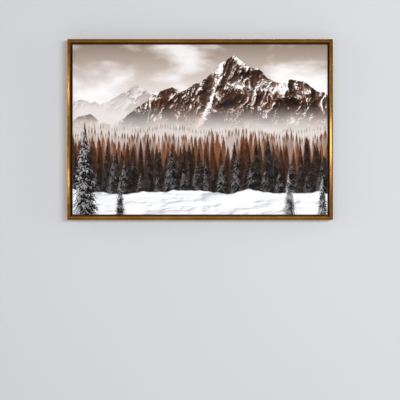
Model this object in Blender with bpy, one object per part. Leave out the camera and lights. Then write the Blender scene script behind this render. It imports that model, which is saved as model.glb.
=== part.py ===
"""A stretched canvas in a shallow floater frame, hung on a wall by one sawtooth hanger.

The origin is where the wall nail meets the hanger: Y = 0 is the wall, the picture faces -Y,
X runs across it and Z is up. Lengths are in metres.
"""

import math

import bmesh
import bpy
from mathutils import Matrix, Vector

# The stretched canvas and the gap that it floats in.
PICTURE_W = 0.6096
PICTURE_H = 0.4064
FLOAT_GAP = 0.0053

# The frame moulding, an L in section: a wall with a crowned face, and a ledge behind the canvas.
FACE_W = 0.0074
FRAME_DEPTH = 0.032
CROWN_RISE = 0.0009
CROWN_STEPS = 8
LEDGE_T = 0.006
LEDGE_REACH = 0.028

# The canvas cloth, and the pine stretcher bars inside it.
CLOTH_T = 0.0006
RETURN_W = 0.028
BAR_W = 0.038
BAR_DEPTH = 0.019
BAR_LIP = 0.006
BAR_SLOPE = 0.003

# Wedge keys, two to a corner, in slots at two depths behind the bars' faces.
KEY_T = 0.003
KEY_IN = 0.012
KEY_OUT = 0.026
KEY_TIP_W = 0.006
KEY_TAIL_W = 0.014
SLOT_ROOM = 0.0006
KEY_DEPTHS = {"across": 0.005, "upright": 0.012}

# Screws from the back, through the ledge and the folded cloth into the bars. Each side has two,
# at this share of its half length from its middle.
SCREW_R = 0.0017
SCREW_HEAD_R = 0.0036
SCREW_HEAD_T = 0.0017
SCREW_SHOULDER_R = 0.0033
SCREW_SHOULDER_DROP = 0.0006
SCREW_TOP_R = 0.0022
SCREW_L = 0.018
SCREW_POINT_L = 0.0034
SCREW_FROM_EDGE = 0.0207
SCREW_SHARE = 0.6

# The sawtooth hanger and its two nails. Its middle is bent off the rail.
HANGER_L = 0.046
HANGER_H = 0.0085
HANGER_T = 0.0008
HANGER_RAISE = 0.0008
HANGER_BEND = 0.0022
TOOTH_PITCH = 0.003
TOOTH_DEPTH = 0.0015
TOOTH_COUNT = 9
NAIL_R = 0.0008
NAIL_HEAD_R = 0.0018
NAIL_HEAD_T = 0.0005
NAIL_RIM_T = 0.0003
NAIL_L = 0.0045
NAIL_POINT_L = 0.0016
NAIL_FROM_END = 0.0034
NAIL_Z = 0.0051
HANG_DROP = 0.020

# Two rubber bumpers keep the bottom rail off the wall.
BUMPER_T = 0.003
BUMPER_R = 0.0055
BUMPER_ROUND = 0.001
BUMPER_FROM_SIDE = 0.045
BUMPER_FROM_EDGE = 0.014

# Neighbours that touch keep this gap, and mitres close to this.
GAP = 0.0003
ROUND_SIDES = 24

# Worked out from the sizes above.
FRAME_W = PICTURE_W + 2 * (FLOAT_GAP + FACE_W)
FRAME_H = PICTURE_H + 2 * (FLOAT_GAP + FACE_W)
CENTRE_Z = HANG_DROP - FRAME_H / 2
BACK_Y = -BUMPER_T
FRONT_Y = BACK_Y - FRAME_DEPTH
LEDGE_Y = BACK_Y - LEDGE_T
CLOTH_BACK_Y = LEDGE_Y - GAP
BAR_BACK_Y = CLOTH_BACK_Y - CLOTH_T - GAP
BAR_FRONT_Y = BAR_BACK_Y - BAR_DEPTH
CLOTH_FRONT_Y = BAR_FRONT_Y - GAP - CLOTH_T
BAR_FRAME_W = PICTURE_W - 2 * (CLOTH_T + GAP)
BAR_FRAME_H = PICTURE_H - 2 * (CLOTH_T + GAP)

# Each side's turn about Y. At no turn a piece is the top one, with its outer edge uppermost.
SIDES = {"top": 0.0, "right": math.pi / 2, "bottom": math.pi, "left": -math.pi / 2}


def clear_scene():
    for obj in list(bpy.data.objects):
        bpy.data.objects.remove(obj, do_unlink=True)


def material(name, colour, roughness, metallic=0.0):
    made = bpy.data.materials.new(name)
    made.use_nodes = True
    shader = made.node_tree.nodes["Principled BSDF"]
    shader.inputs["Base Color"].default_value = (*colour, 1.0)
    shader.inputs["Roughness"].default_value = roughness
    shader.inputs["Metallic"].default_value = metallic
    return made


def new_object(name, shape, finish=None):
    """Turns a bmesh into an object. One without a finish is a cutter."""
    bmesh.ops.recalc_face_normals(shape, faces=shape.faces)
    mesh = bpy.data.meshes.new(name)
    shape.to_mesh(mesh)
    shape.free()
    obj = bpy.data.objects.new(name, mesh)
    bpy.context.scene.collection.objects.link(obj)
    if finish:
        mesh.materials.append(finish)
    else:
        obj.hide_render = True
        obj.display_type = "WIRE"
    return obj


def cut(obj, cutter):
    """Takes the cutter's shape out of the object."""
    modifier = obj.modifiers.new(cutter.name, "BOOLEAN")
    modifier.operation = "DIFFERENCE"
    modifier.solver = "EXACT"
    modifier.object = cutter


def add_box(shape, low, high):
    """Adds a box between two corners to a bmesh."""
    low, high = Vector(low), Vector(high)
    size = Matrix.Diagonal((*(high - low), 1.0))
    bmesh.ops.create_cube(shape, size=1.0, matrix=Matrix.Translation((low + high) / 2) @ size)


def add_rod(shape, x, z, y_from, y_to, radius):
    """Adds a cylinder along Y to a bmesh."""
    place = Matrix.Translation((x, (y_from + y_to) / 2, z)) @ Matrix.Rotation(math.pi / 2, 4, "X")
    bmesh.ops.create_cone(
        shape,
        cap_ends=True,
        segments=ROUND_SIDES,
        radius1=radius,
        radius2=radius,
        depth=abs(y_to - y_from),
        matrix=place,
    )


def turned_rod(name, x, z, outline, finish):
    """A round piece along Y, turned from (radius, y) points that start and end on its axis."""
    shape = bmesh.new()
    points = [shape.verts.new((radius, y, 0.0)) for radius, y in outline]
    edges = [shape.edges.new(pair) for pair in zip(points, points[1:])]
    bmesh.ops.spin(
        shape,
        geom=points + edges,
        axis=(0, 1, 0),
        cent=(0, 0, 0),
        steps=ROUND_SIDES,
        angle=2 * math.pi,
        use_merge=True,
    )
    bmesh.ops.remove_doubles(shape, verts=shape.verts, dist=1e-6)
    obj = new_object(name, shape, finish)
    obj.location = (x, 0.0, z)
    return obj


def on_side(side, along, inward, width, height):
    """X and Z of a point on one side of a centred rectangle, by its distance along and inward."""
    across = width if side in ("top", "bottom") else height
    out = (height if side in ("top", "bottom") else width) / 2 - inward
    turn = SIDES[side]
    x = along * across / 2 * math.cos(turn) + out * math.sin(turn)
    z = out * math.cos(turn) - along * across / 2 * math.sin(turn)
    return x, CENTRE_Z + z


def mitred_side(name, side, profile, width, height, finish):
    """One side of a rectangular frame, with its (inward, y) profile cut at 45 degrees each end."""
    upright = side in ("left", "right")
    half_length = (height if upright else width) / 2
    reach = (width if upright else height) / 2
    shape = bmesh.new()
    ends = []
    for direction in (-1, 1):
        ring = [
            shape.verts.new((direction * (half_length - inward - GAP / 2), y, reach - inward))
            for inward, y in profile
        ]
        ends.append(ring)
        shape.faces.new(ring)
    for i in range(len(profile)):
        j = (i + 1) % len(profile)
        shape.faces.new((ends[0][i], ends[0][j], ends[1][j], ends[1][i]))
    obj = new_object(name, shape, finish)
    obj.location = (0.0, 0.0, CENTRE_Z)
    obj.rotation_euler = (0.0, SIDES[side], 0.0)
    return obj


def moulding_profile():
    """The rail's section: the crowned face is a shallow parabola across the wall's edge."""
    crown = []
    for i in range(CROWN_STEPS + 1):
        across = 2 * i / CROWN_STEPS - 1
        crown.append((FACE_W * (across + 1) / 2, FRONT_Y + CROWN_RISE * across**2))
    ledge = [(FACE_W, LEDGE_Y), (LEDGE_REACH, LEDGE_Y), (LEDGE_REACH, BACK_Y)]
    return [(0.0, BACK_Y), *crown, *ledge]


def bar_profile():
    """The stretcher bar's section: a lip holds the cloth clear of the sloping face."""
    return [
        (0.0, BAR_BACK_Y),
        (0.0, BAR_FRONT_Y),
        (BAR_LIP, BAR_FRONT_Y),
        (BAR_W, BAR_FRONT_Y + BAR_SLOPE),
        (BAR_W, BAR_BACK_Y),
    ]


def screw_places():
    """Two places on each side, as (name, x, z)."""
    places = []
    for side in SIDES:
        for number, along in ((1, -SCREW_SHARE), (2, SCREW_SHARE)):
            x, z = on_side(side, along, SCREW_FROM_EDGE, FRAME_W, FRAME_H)
            places.append((f"screw_{side}_{number}", x, z))
    return places


def screw_clearance():
    """The holes of all the screws, as one cutter."""
    shape = bmesh.new()
    depth = BACK_Y - SCREW_L
    for _, x, z in screw_places():
        add_rod(shape, x, z, depth - GAP, BACK_Y + GAP, SCREW_R + GAP)
    return new_object("cut_screw_holes", shape)


def make_screw(name, x, z, steel):
    """A pan-head wood screw with a plain shank and a pointed tip."""
    seat = BACK_Y + GAP
    top = seat + SCREW_HEAD_T
    tip = BACK_Y - SCREW_L
    outline = [
        (0.0, top),
        (SCREW_TOP_R, top),
        (SCREW_SHOULDER_R, top - SCREW_SHOULDER_DROP),
        (SCREW_HEAD_R, seat),
        (SCREW_R, seat),
        (SCREW_R, tip + SCREW_POINT_L),
        (0.0, tip),
    ]
    return turned_rod(name, x, z, outline, steel)


def nail_places():
    """Both ends of the hanger, as (name, x, z)."""
    reach = HANGER_L / 2 - NAIL_FROM_END
    return [("hanger_nail_left", -reach, NAIL_Z), ("hanger_nail_right", reach, NAIL_Z)]


def nail_clearance():
    """The holes of the hanger's nails, as one cutter."""
    shape = bmesh.new()
    for _, x, z in nail_places():
        add_rod(shape, x, z, BACK_Y - NAIL_L - GAP, 0.0, NAIL_R + GAP)
    return new_object("cut_nail_holes", shape)


def make_nail(name, x, z, steel):
    """A flat-headed panel nail through one end of the hanger."""
    seat = BACK_Y + 2 * GAP + HANGER_T
    tip = BACK_Y - NAIL_L
    outline = [
        (0.0, seat + NAIL_HEAD_T),
        (NAIL_HEAD_R, seat + NAIL_RIM_T),
        (NAIL_HEAD_R, seat),
        (NAIL_R, seat),
        (NAIL_R, tip + NAIL_POINT_L),
        (0.0, tip),
    ]
    return turned_rod(name, x, z, outline, steel)


def hanger_columns():
    """The hanger strip from left to right, as (x, lower edge, how far it is raised)."""
    toothed = TOOTH_PITCH * TOOTH_COUNT / 2
    tip = -TOOTH_DEPTH
    columns = [(-HANGER_L / 2, tip, 0.0), (-toothed - HANGER_BEND, tip, 0.0)]
    for i in range(TOOTH_COUNT):
        left = -toothed + i * TOOTH_PITCH
        columns.append((left, tip, HANGER_RAISE))
        columns.append((left + TOOTH_PITCH / 2, 0.0, HANGER_RAISE))
    columns.append((toothed, tip, HANGER_RAISE))
    columns.append((toothed + HANGER_BEND, tip, 0.0))
    columns.append((HANGER_L / 2, tip, 0.0))
    return columns


def make_hanger(steel):
    """A pressed steel strip whose lower edge is cut in teeth. The wall nail sits in a notch."""
    shape = bmesh.new()
    rings = []
    for x, low, raised in hanger_columns():
        near = BACK_Y + GAP + raised
        far = near + HANGER_T
        corners = ((near, low), (near, HANGER_H), (far, HANGER_H), (far, low))
        rings.append([shape.verts.new((x, y, z)) for y, z in corners])
    for a, b in zip(rings, rings[1:]):
        for i in range(4):
            j = (i + 1) % 4
            shape.faces.new((a[i], a[j], b[j], b[i]))
    shape.faces.new(rings[0])
    shape.faces.new(rings[-1])
    return new_object("hanger", shape, steel)


def make_canvas(cloth):
    """The cloth as one thin tray over the bars, with its edges returned onto their backs."""
    half_w, half_h = PICTURE_W / 2, PICTURE_H / 2

    def slab(name, inset, y_front, y_back, finish=None):
        shape = bmesh.new()
        low = (inset - half_w, y_front, CENTRE_Z + inset - half_h)
        high = (half_w - inset, y_back, CENTRE_Z + half_h - inset)
        add_box(shape, low, high)
        return new_object(name, shape, finish)

    canvas = slab("canvas", 0.0, CLOTH_FRONT_Y, CLOTH_BACK_Y, cloth)
    hollow = slab("cut_canvas_hollow", CLOTH_T, CLOTH_FRONT_Y + CLOTH_T, CLOTH_BACK_Y - CLOTH_T)
    window = slab("cut_canvas_window", RETURN_W, CLOTH_FRONT_Y + 2 * CLOTH_T, 0.0)
    cut(canvas, hollow)
    cut(canvas, window)
    return canvas


def key_outline(room=0.0):
    """A key seen from the back, as (away from the corner, off the bar it lies along)."""
    return [
        (-KEY_IN - room, GAP - room),
        (KEY_OUT, GAP - room),
        (KEY_OUT, KEY_TAIL_W + room),
        (-KEY_IN - room, KEY_TIP_W + room),
    ]


def add_key(shape, corner, lies, room=0.0):
    """Adds one key, or with room its slot, to a bmesh. The key lies across or upright."""
    right, up = corner
    inner_x = right * (BAR_FRAME_W / 2 - BAR_W)
    inner_z = CENTRE_Z + up * (BAR_FRAME_H / 2 - BAR_W)
    middle = BAR_BACK_Y - KEY_DEPTHS[lies]
    layers = []
    for y in (middle - KEY_T / 2 - room, middle + KEY_T / 2 + room):
        ring = []
        for away, off in key_outline(room):
            dx, dz = (away, off) if lies == "across" else (off, away)
            ring.append(shape.verts.new((inner_x - right * dx, y, inner_z - up * dz)))
        layers.append(ring)
        shape.faces.new(ring)
    for i in range(4):
        j = (i + 1) % 4
        shape.faces.new((layers[0][i], layers[0][j], layers[1][j], layers[1][i]))


def corners():
    """The four corners by name, as (name, right or left, up or down)."""
    return [
        (f"{up_name}_{right_name}", right, up)
        for up_name, up in (("top", 1), ("bottom", -1))
        for right_name, right in (("left", -1), ("right", 1))
    ]


def make_keys(wood):
    for name, right, up in corners():
        for lies in KEY_DEPTHS:
            shape = bmesh.new()
            add_key(shape, (right, up), lies)
            new_object(f"key_{name}_{lies}", shape, wood)


def key_slots():
    """The slots of all the keys, as one cutter."""
    shape = bmesh.new()
    for _, right, up in corners():
        for lies in KEY_DEPTHS:
            add_key(shape, (right, up), lies, SLOT_ROOM)
    return new_object("cut_key_slots", shape)


def make_bumper(name, direction, rubber):
    """A round rubber foot with a rounded rim. Its flat end rests on the wall."""
    x = direction * (FRAME_W / 2 - BUMPER_FROM_SIDE)
    z = CENTRE_Z - FRAME_H / 2 + BUMPER_FROM_EDGE
    inner_r = BUMPER_R - BUMPER_ROUND
    rim = [
        (inner_r + BUMPER_ROUND * math.sin(turn), -BUMPER_ROUND * (1 - math.cos(turn)))
        for turn in (0.0, math.pi / 6, math.pi / 3, math.pi / 2)
    ]
    outline = [(0.0, 0.0), *rim, (BUMPER_R, BACK_Y + GAP), (0.0, BACK_Y + GAP)]
    return turned_rod(name, x, z, outline, rubber)


def main():
    clear_scene()
    gilt = material("gilt_moulding", (0.60, 0.36, 0.10), 0.3, 1.0)
    pine = material("pine", (0.62, 0.42, 0.22), 0.7)
    beech = material("beech", (0.55, 0.33, 0.17), 0.6)
    cloth = material("canvas_cloth", (0.42, 0.34, 0.29), 0.85)
    steel = material("zinc_plated_steel", (0.55, 0.54, 0.50), 0.35, 1.0)
    rubber = material("rubber", (0.03, 0.03, 0.03), 0.8)

    screw_holes = screw_clearance()
    nail_holes = nail_clearance()
    slots = key_slots()

    for side in SIDES:
        rail = mitred_side(f"rail_{side}", side, moulding_profile(), FRAME_W, FRAME_H, gilt)
        cut(rail, screw_holes)
        if side == "top":
            cut(rail, nail_holes)
        bar = mitred_side(f"bar_{side}", side, bar_profile(), BAR_FRAME_W, BAR_FRAME_H, pine)
        cut(bar, slots)
        cut(bar, screw_holes)

    cut(make_canvas(cloth), screw_holes)
    make_keys(beech)
    for name, x, z in screw_places():
        make_screw(name, x, z, steel)

    cut(make_hanger(steel), nail_holes)
    for name, x, z in nail_places():
        make_nail(name, x, z, steel)
    make_bumper("bumper_left", -1, rubber)
    make_bumper("bumper_right", 1, rubber)


main()
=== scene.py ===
"""The looks of a framed canvas picture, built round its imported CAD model.

A printed cotton canvas is stretched over pine bars and floats in a slim gilt moulding, which
hangs on one nail. Y = 0 is the wall, the picture faces -Y, X runs across it and Z is up.
Lengths are in metres, and the patterns on the surfaces are laid out in millimetres.
"""

from __future__ import annotations

import logging
import math
import random
from contextlib import contextmanager
from dataclasses import dataclass, field
from enum import Enum
from typing import Callable, Iterator, Sequence

import bmesh
import bpy
from bpy.types import Material, Node, NodeTree, Object
from mathutils import Matrix, Vector


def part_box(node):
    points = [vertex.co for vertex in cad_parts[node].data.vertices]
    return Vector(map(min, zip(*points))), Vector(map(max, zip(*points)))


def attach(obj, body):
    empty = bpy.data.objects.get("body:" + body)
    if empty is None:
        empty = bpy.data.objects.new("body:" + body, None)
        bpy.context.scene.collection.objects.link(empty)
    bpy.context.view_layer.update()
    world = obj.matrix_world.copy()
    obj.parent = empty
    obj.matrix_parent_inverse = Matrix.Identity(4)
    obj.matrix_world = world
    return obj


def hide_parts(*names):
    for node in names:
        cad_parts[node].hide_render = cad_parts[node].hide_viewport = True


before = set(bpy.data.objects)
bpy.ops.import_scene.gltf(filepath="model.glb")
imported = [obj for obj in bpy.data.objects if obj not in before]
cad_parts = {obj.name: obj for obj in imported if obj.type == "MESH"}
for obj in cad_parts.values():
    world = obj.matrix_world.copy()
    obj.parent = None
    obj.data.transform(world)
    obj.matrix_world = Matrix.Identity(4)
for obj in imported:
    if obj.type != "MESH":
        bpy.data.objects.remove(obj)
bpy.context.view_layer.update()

MM = 0.001
WELD = 1e-6
CORNERS = ((-1, 1), (1, 1), (-1, -1), (1, -1))  # which way each corner lies, along X and Z
log = logging.getLogger("picture")

Outline = list[tuple[float, float]]


class Side(Enum):
    """A side of the picture, by its turn about Y from the top one."""

    TOP = 0.0
    RIGHT = math.pi / 2
    BOTTOM = math.pi
    LEFT = -math.pi / 2

    @property
    def label(self) -> str:
        """The side's name as the CAD nodes have it."""
        return self.name.lower()

    @property
    def upright(self) -> bool:
        """True for the two sides that stand upright."""
        return self in (Side.LEFT, Side.RIGHT)

    @property
    def grain(self) -> Grain:
        """The way that the side's wood runs."""
        return Grain.UPRIGHT if self.upright else Grain.ACROSS

    @property
    def outward(self) -> Vector:
        """The direction from the picture's middle to this side."""
        return Vector((math.sin(self.value), 0.0, math.cos(self.value)))

    @property
    def along(self) -> Vector:
        """The direction along this side, which is +X for the top one."""
        return Vector((math.cos(self.value), 0.0, -math.sin(self.value)))


class Grain(Enum):
    """Which way a length of wood or foil runs. The value masks out that direction."""

    ACROSS = (0.0, 1.0, 1.0)
    UPRIGHT = (1.0, 1.0, 0.0)

    def drawn_out(self, times: float) -> tuple[float, float, float]:
        """The scale that draws a pattern out along the grain, so many times its width."""
        return tuple(share or 1.0 / times for share in self.value)


# ---------------------------------------------------------------------------------------------
# Colours and nodes

# Short names for the nodes that the finishes use most, with their modes.
KINDS = {
    "+": "Math ADD", "-": "Math SUBTRACT", "*": "Math MULTIPLY", "/": "Math DIVIDE",
    "*+": "Math MULTIPLY_ADD", "abs": "Math ABSOLUTE", "max": "Math MAXIMUM", "min": "Math MINIMUM",
    "fract": "Math FRACT", "v+": "VectorMath ADD", "v-": "VectorMath SUBTRACT",
    "v*": "VectorMath MULTIPLY", "scale": "VectorMath SCALE",
    "noise": "TexNoise 3D", "noise2": "TexNoise 2D", "noise1": "TexNoise 1D", "parts": "SeparateXYZ",
    "range": "MapRange LINEAR", "ease": "MapRange SMOOTHSTEP", "ramp": "ValToRGB", "mix": "Mix RGBA",
}
# The property that each node's mode sets.
MODES = {
    "Math": "operation", "VectorMath": "operation", "Mix": "data_type", "MapRange": "interpolation_type",
    "TexNoise": "noise_dimensions", "TexWhiteNoise": "noise_dimensions",
}


def linear(code: str) -> tuple[float, float, float, float]:
    """Turns an sRGB colour into the linear one that shaders and lights take.

    Args:
        code: The colour as #RRGGBB.

    Returns:
        Red, green, blue and alpha, from 0 to 1.
    """
    shares = [int(code[i : i + 2], 16) / 255 for i in (1, 3, 5)]
    shares = [s / 12.92 if s <= 0.04045 else ((s + 0.055) / 1.055) ** 2.4 for s in shares]
    return (*shares, 1.0)


@dataclass
class Graph:
    """A node tree that is being laid out."""

    tree: NodeTree

    def add(
        self, kind: str, *inputs: object, stops: dict[float, str] | None = None, **settings: object
    ) -> Node:
        """Adds one node, with its settings and its links.

        Args:
            kind: A short name, or the node's type without its ShaderNode prefix and its mode.
            *inputs: What goes into its enabled inputs, in order: a node, whose first output is
                taken, an output, a plain value, or an #RRGGBB colour. A dictionary gives inputs
                by name.
            stops: The colours of a colour ramp, by position.
            **settings: The node's own properties.

        Returns:
            The node.
        """
        name, _, mode = KINDS.get(kind, kind).partition(" ")
        node = self.tree.nodes.new(name if name.startswith("Node") else "ShaderNode" + name)
        if mode:
            setattr(node, MODES[name], mode)
        for key, value in settings.items():
            setattr(node, key, value)
        for i, (position, colour) in enumerate((stops or {}).items()):
            elements = node.color_ramp.elements
            stop = elements[i] if i < len(elements) else elements.new(position)
            stop.position, stop.color = position, linear(colour)
        plain = [value for value in inputs if not isinstance(value, dict)]
        pairs = list(zip([socket for socket in node.inputs if socket.enabled], plain))
        for named in (value for value in inputs if isinstance(value, dict)):
            pairs += [(node.inputs[key], value) for key, value in named.items()]
        for socket, value in pairs:
            if isinstance(value, Node):
                value = next(output for output in value.outputs if output.enabled)
            if isinstance(value, bpy.types.NodeSocket):
                self.tree.links.new(value, socket)
            else:
                socket.default_value = linear(value) if isinstance(value, str) else value
        return node

    def place_mm(self, middle: Vector = Vector()) -> Node:
        """The surface's own place in millimetres, measured from a middle in metres."""
        place = self.add("TexCoord").outputs["Object"]
        return self.add("scale", self.add("v-", place, tuple(middle)), 1 / MM)

    def cut_mm(self) -> Node:
        """The place on the flat cloth in millimetres, measured from its middle."""
        return self.add("scale", self.add("UVMap", uv_map=StretchedCanvas.CUT_MAP), 1 / MM)


def node_group(name: str, inputs: Sequence[str], outputs: Sequence[str]) -> Graph:
    """Opens a node group, whose first input is a place and whose others are plain numbers.

    Args:
        name: The group's name.
        inputs: The names of its inputs.
        outputs: The names of its outputs, which are plain numbers too.

    Returns:
        The group's graph, still empty.
    """
    tree = bpy.data.node_groups.new(name, "ShaderNodeTree")
    for label in inputs:
        kind = "NodeSocketFloat" if label != inputs[0] else "NodeSocketVector"
        tree.interface.new_socket(label, in_out="INPUT", socket_type=kind)
    for label in outputs:
        tree.interface.new_socket(label, in_out="OUTPUT", socket_type="NodeSocketFloat")
    return Graph(tree)


# ---------------------------------------------------------------------------------------------
# Modelling by hand


def only(piece: Object) -> None:
    """Leaves nothing selected but one piece, and makes it the active one.

    Args:
        piece: That piece.
    """
    bpy.ops.object.select_all(action="DESELECT")
    piece.select_set(True)
    bpy.context.view_layer.objects.active = piece


@contextmanager
def edit_mode(piece: Object, kind: str = "FACE") -> Iterator[None]:
    """Opens a piece in edit mode with nothing selected, and closes it again.

    Args:
        piece: The piece to edit.
        kind: VERT, EDGE or FACE, the select mode.
    """
    only(piece)
    bpy.ops.object.mode_set(mode="EDIT")
    bpy.ops.mesh.select_mode(type=kind)
    bpy.ops.mesh.select_all(action="DESELECT")
    yield
    bpy.ops.object.mode_set(mode="OBJECT")


def pick_all() -> None:
    """Selects the whole of the piece in edit mode."""
    bpy.ops.mesh.select_all(action="SELECT")


def pick(piece: Object, kind: str, test: Callable[..., bool]) -> None:
    """Selects what passes a test, on a piece in edit mode.

    Args:
        piece: The piece.
        kind: verts, edges or faces.
        test: Says whether one of them is wanted.
    """
    shape = bmesh.from_edit_mesh(piece.data)
    shape.normal_update()
    for part in [*shape.verts, *shape.edges, *shape.faces]:
        part.select_set(False)
    for part in filter(test, getattr(shape, kind)):
        part.select_set(True)
    bmesh.update_edit_mesh(piece.data)


def turn_outwards() -> None:
    """Makes all faces of the piece in edit mode point outwards."""
    pick_all()
    bpy.ops.mesh.normals_make_consistent(inside=False)


def drawn_line(name: str, points: Sequence[Vector]) -> Object:
    """Draws a line as by hand: one point, extruded from place to place.

    Args:
        name: The new piece's name.
        points: The line's points.

    Returns:
        The piece, with its origin in the middle of the scene.
    """
    bpy.ops.object.select_all(action="DESELECT")
    bpy.ops.mesh.primitive_plane_add(size=MM, location=points[0])
    piece = bpy.context.object
    piece.name = piece.data.name = name
    with edit_mode(piece, "VERT"):
        pick_all()
        bpy.ops.mesh.merge(type="CENTER")
        for here, there in zip(points, points[1:]):
            bpy.ops.mesh.extrude_region_move(TRANSFORM_OT_translate={"value": there - here})
    bpy.ops.object.transform_apply(location=True, rotation=True, scale=True)
    return piece


def drawn_prism(name: str, points: Sequence[Vector], depth: Vector) -> Object:
    """Draws an outline, fills it and extrudes the face.

    Args:
        name: The new piece's name.
        points: The outline's corners, in order.
        depth: How far, and which way, the face is extruded.

    Returns:
        The closed piece.
    """
    piece = drawn_line(name, points)
    with edit_mode(piece):
        pick_all()
        bpy.ops.mesh.edge_face_add()
        bpy.ops.mesh.extrude_region_move(TRANSFORM_OT_translate={"value": depth})
        turn_outwards()
    return piece


def turned(name: str, outline: Outline, place: Vector = Vector(), steps: int = 48) -> Object:
    """Turns a half outline about an axis along Y.

    Args:
        name: The new piece's name.
        outline: (radius, y) points, which start and end on the axis.
        place: A place on the axis.
        steps: Segments round the piece.

    Returns:
        The closed round piece.
    """
    piece = drawn_line(name, [Vector((radius, y, 0.0)) for radius, y in outline])
    with edit_mode(piece, "VERT"):
        pick_all()
        bpy.ops.mesh.spin(steps=steps, angle=2 * math.pi, center=(0, 0, 0), axis=(0, 1, 0))
        pick_all()
        bpy.ops.mesh.remove_doubles(threshold=WELD)
        bpy.ops.mesh.normals_make_consistent(inside=False)
    return put_at(piece, Matrix.Translation((place.x, 0.0, place.z)))


def rounded(corners: Sequence[tuple[float, ...]], steps: int = 4) -> Outline:
    """Rounds the corners of an outline.

    Args:
        corners: (a, b) or (a, b, radius) of each corner, in order.
        steps: Segments in each arc.

    Returns:
        The outline's (a, b) points.
    """
    points: Outline = []
    for i, (a, b, *rest) in enumerate(corners):
        here = Vector((a, b))
        if not rest:
            points.append((a, b))
            continue
        before = (Vector(corners[i - 1][:2]) - here).normalized()
        after = (Vector(corners[(i + 1) % len(corners)][:2]) - here).normalized()
        half = before.angle(after) / 2
        middle = here + (before + after).normalized() * rest[0] / math.sin(half)
        tangent = rest[0] / math.tan(half)
        start = here + before * tangent - middle
        end = here + after * tangent - middle
        for step in range(steps + 1):
            points.append(tuple(middle + start.lerp(end, step / steps).normalized() * rest[0]))
    return points


def apply_modifier(piece: Object, kind: str, **settings: object) -> None:
    """Adds a modifier to a piece and applies it.

    Args:
        piece: The piece.
        kind: The modifier's type.
        **settings: Its properties.
    """
    only(piece)
    modifier = piece.modifiers.new(kind.lower(), kind)
    for key, value in settings.items():
        setattr(modifier, key, value)
    bpy.ops.object.modifier_apply(modifier=modifier.name)


def cut_away(piece: Object, cutters: Sequence[Object]) -> None:
    """Takes the cutters' shapes out of a piece, and removes them.

    Args:
        piece: The piece.
        cutters: What is cut out of it.
    """
    for cutter in cutters:
        apply_modifier(piece, "BOOLEAN", operation="DIFFERENCE", solver="EXACT", object=cutter)
        bpy.data.objects.remove(cutter, do_unlink=True)


def soften(piece: Object, width: float, segments: int = 2, angle_deg: float = 40.0) -> None:
    """Rounds a piece's sharp edges.

    Args:
        piece: The piece.
        width: How far each edge is cut back.
        segments: Segments across the rounding.
        angle_deg: Edges that turn by less than this stay as they are.
    """
    limit = {"limit_method": "ANGLE", "angle_limit": math.radians(angle_deg), "use_clamp_overlap": True}
    apply_modifier(piece, "BEVEL", width=width, segments=segments, **limit)


def put_at(piece: Object, matrix: Matrix) -> Object:
    """Moves and turns a piece, and applies that to its mesh.

    Args:
        piece: The piece.
        matrix: Where it goes.

    Returns:
        The same piece.
    """
    piece.matrix_world = matrix
    only(piece)
    bpy.ops.object.transform_apply(location=True, rotation=True, scale=True)
    return piece


def copy_at(piece: Object, name: str, place: Vector, turn: float) -> Object:
    """A copy of a piece with a mesh of its own.

    Args:
        piece: The piece.
        name: The copy's name.
        place: Where it goes.
        turn: Its turn about Y.

    Returns:
        The copy.
    """
    copy = piece.copy()
    copy.data = piece.data.copy()
    copy.name = copy.data.name = name
    bpy.context.scene.collection.objects.link(copy)
    return put_at(copy, Matrix.Translation(place) @ Matrix.Rotation(turn, 4, "Y"))


def joined(name: str, pieces: Sequence[Object]) -> Object:
    """Joins pieces into one.

    Args:
        name: The name of what comes out.
        pieces: The pieces.

    Returns:
        The first piece, which holds them all.
    """
    bpy.ops.object.select_all(action="DESELECT")
    for piece in pieces:
        piece.select_set(True)
    bpy.context.view_layer.objects.active = pieces[0]
    bpy.ops.object.join()
    pieces[0].name = pieces[0].data.name = name
    return pieces[0]


def settle(
    piece: Object, materials: Sequence[Material], slot: str, *replaced: str, smooth_deg: float = 35.0
) -> Object:
    """Dresses and shades a finished piece, and hands it over to the frame.

    Args:
        piece: The piece, in its place.
        materials: Its materials, in the order of its faces' material numbers.
        slot: The record's material slot. It is not used.
        *replaced: The CAD nodes that it stands for.
        smooth_deg: Edges that turn by less than this are shaded smooth.

    Returns:
        The same piece.
    """
    for material in materials:
        piece.data.materials.append(material)
    only(piece)
    bpy.ops.object.shade_smooth_by_angle(angle=math.radians(smooth_deg))
    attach(piece, "root")
    if replaced:
        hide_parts(*replaced)
    log.info("%s: %d faces", piece.name, len(piece.data.polygons))
    return piece




# ---------------------------------------------------------------------------------------------
# Finishes

Inputs = dict[str, object]


class Finish:
    """What all finishes share: a shader, whose inputs each of them lays out."""

    name = "finish"
    one_sided = False

    def surface(self, graph: Graph) -> Inputs:
        """Lays out the surface.

        Args:
            graph: The material's graph.

        Returns:
            The shader's inputs. Relief, if there is one, is its height, its strength and its
            depth in mm.
        """
        raise NotImplementedError

    def material(self) -> Material:
        """Makes the material.

        Returns:
            The material, named for its finish and for the way that it runs, if it has one.
        """
        way = getattr(self, "side", getattr(self, "grain", None))
        made = bpy.data.materials.new(f"{self.name}_{way.name.lower()}" if way else self.name)
        made.use_nodes = True
        made.node_tree.nodes.clear()
        graph = Graph(made.node_tree)
        inputs = self.surface(graph)
        if "Relief" in inputs:
            height, strength, depth_mm = inputs.pop("Relief")
            relief = {"Height": height, "Strength": strength, "Distance": depth_mm * MM}
            inputs["Normal"] = graph.add("Bump", relief)
        shader = graph.add("BsdfPrincipled", inputs)
        if self.one_sided:
            behind = graph.add("NewGeometry").outputs["Backfacing"]
            shader = graph.add("MixShader", behind, shader, graph.add("BsdfTransparent"))
        graph.add("OutputMaterial", shader)
        return made


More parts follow.
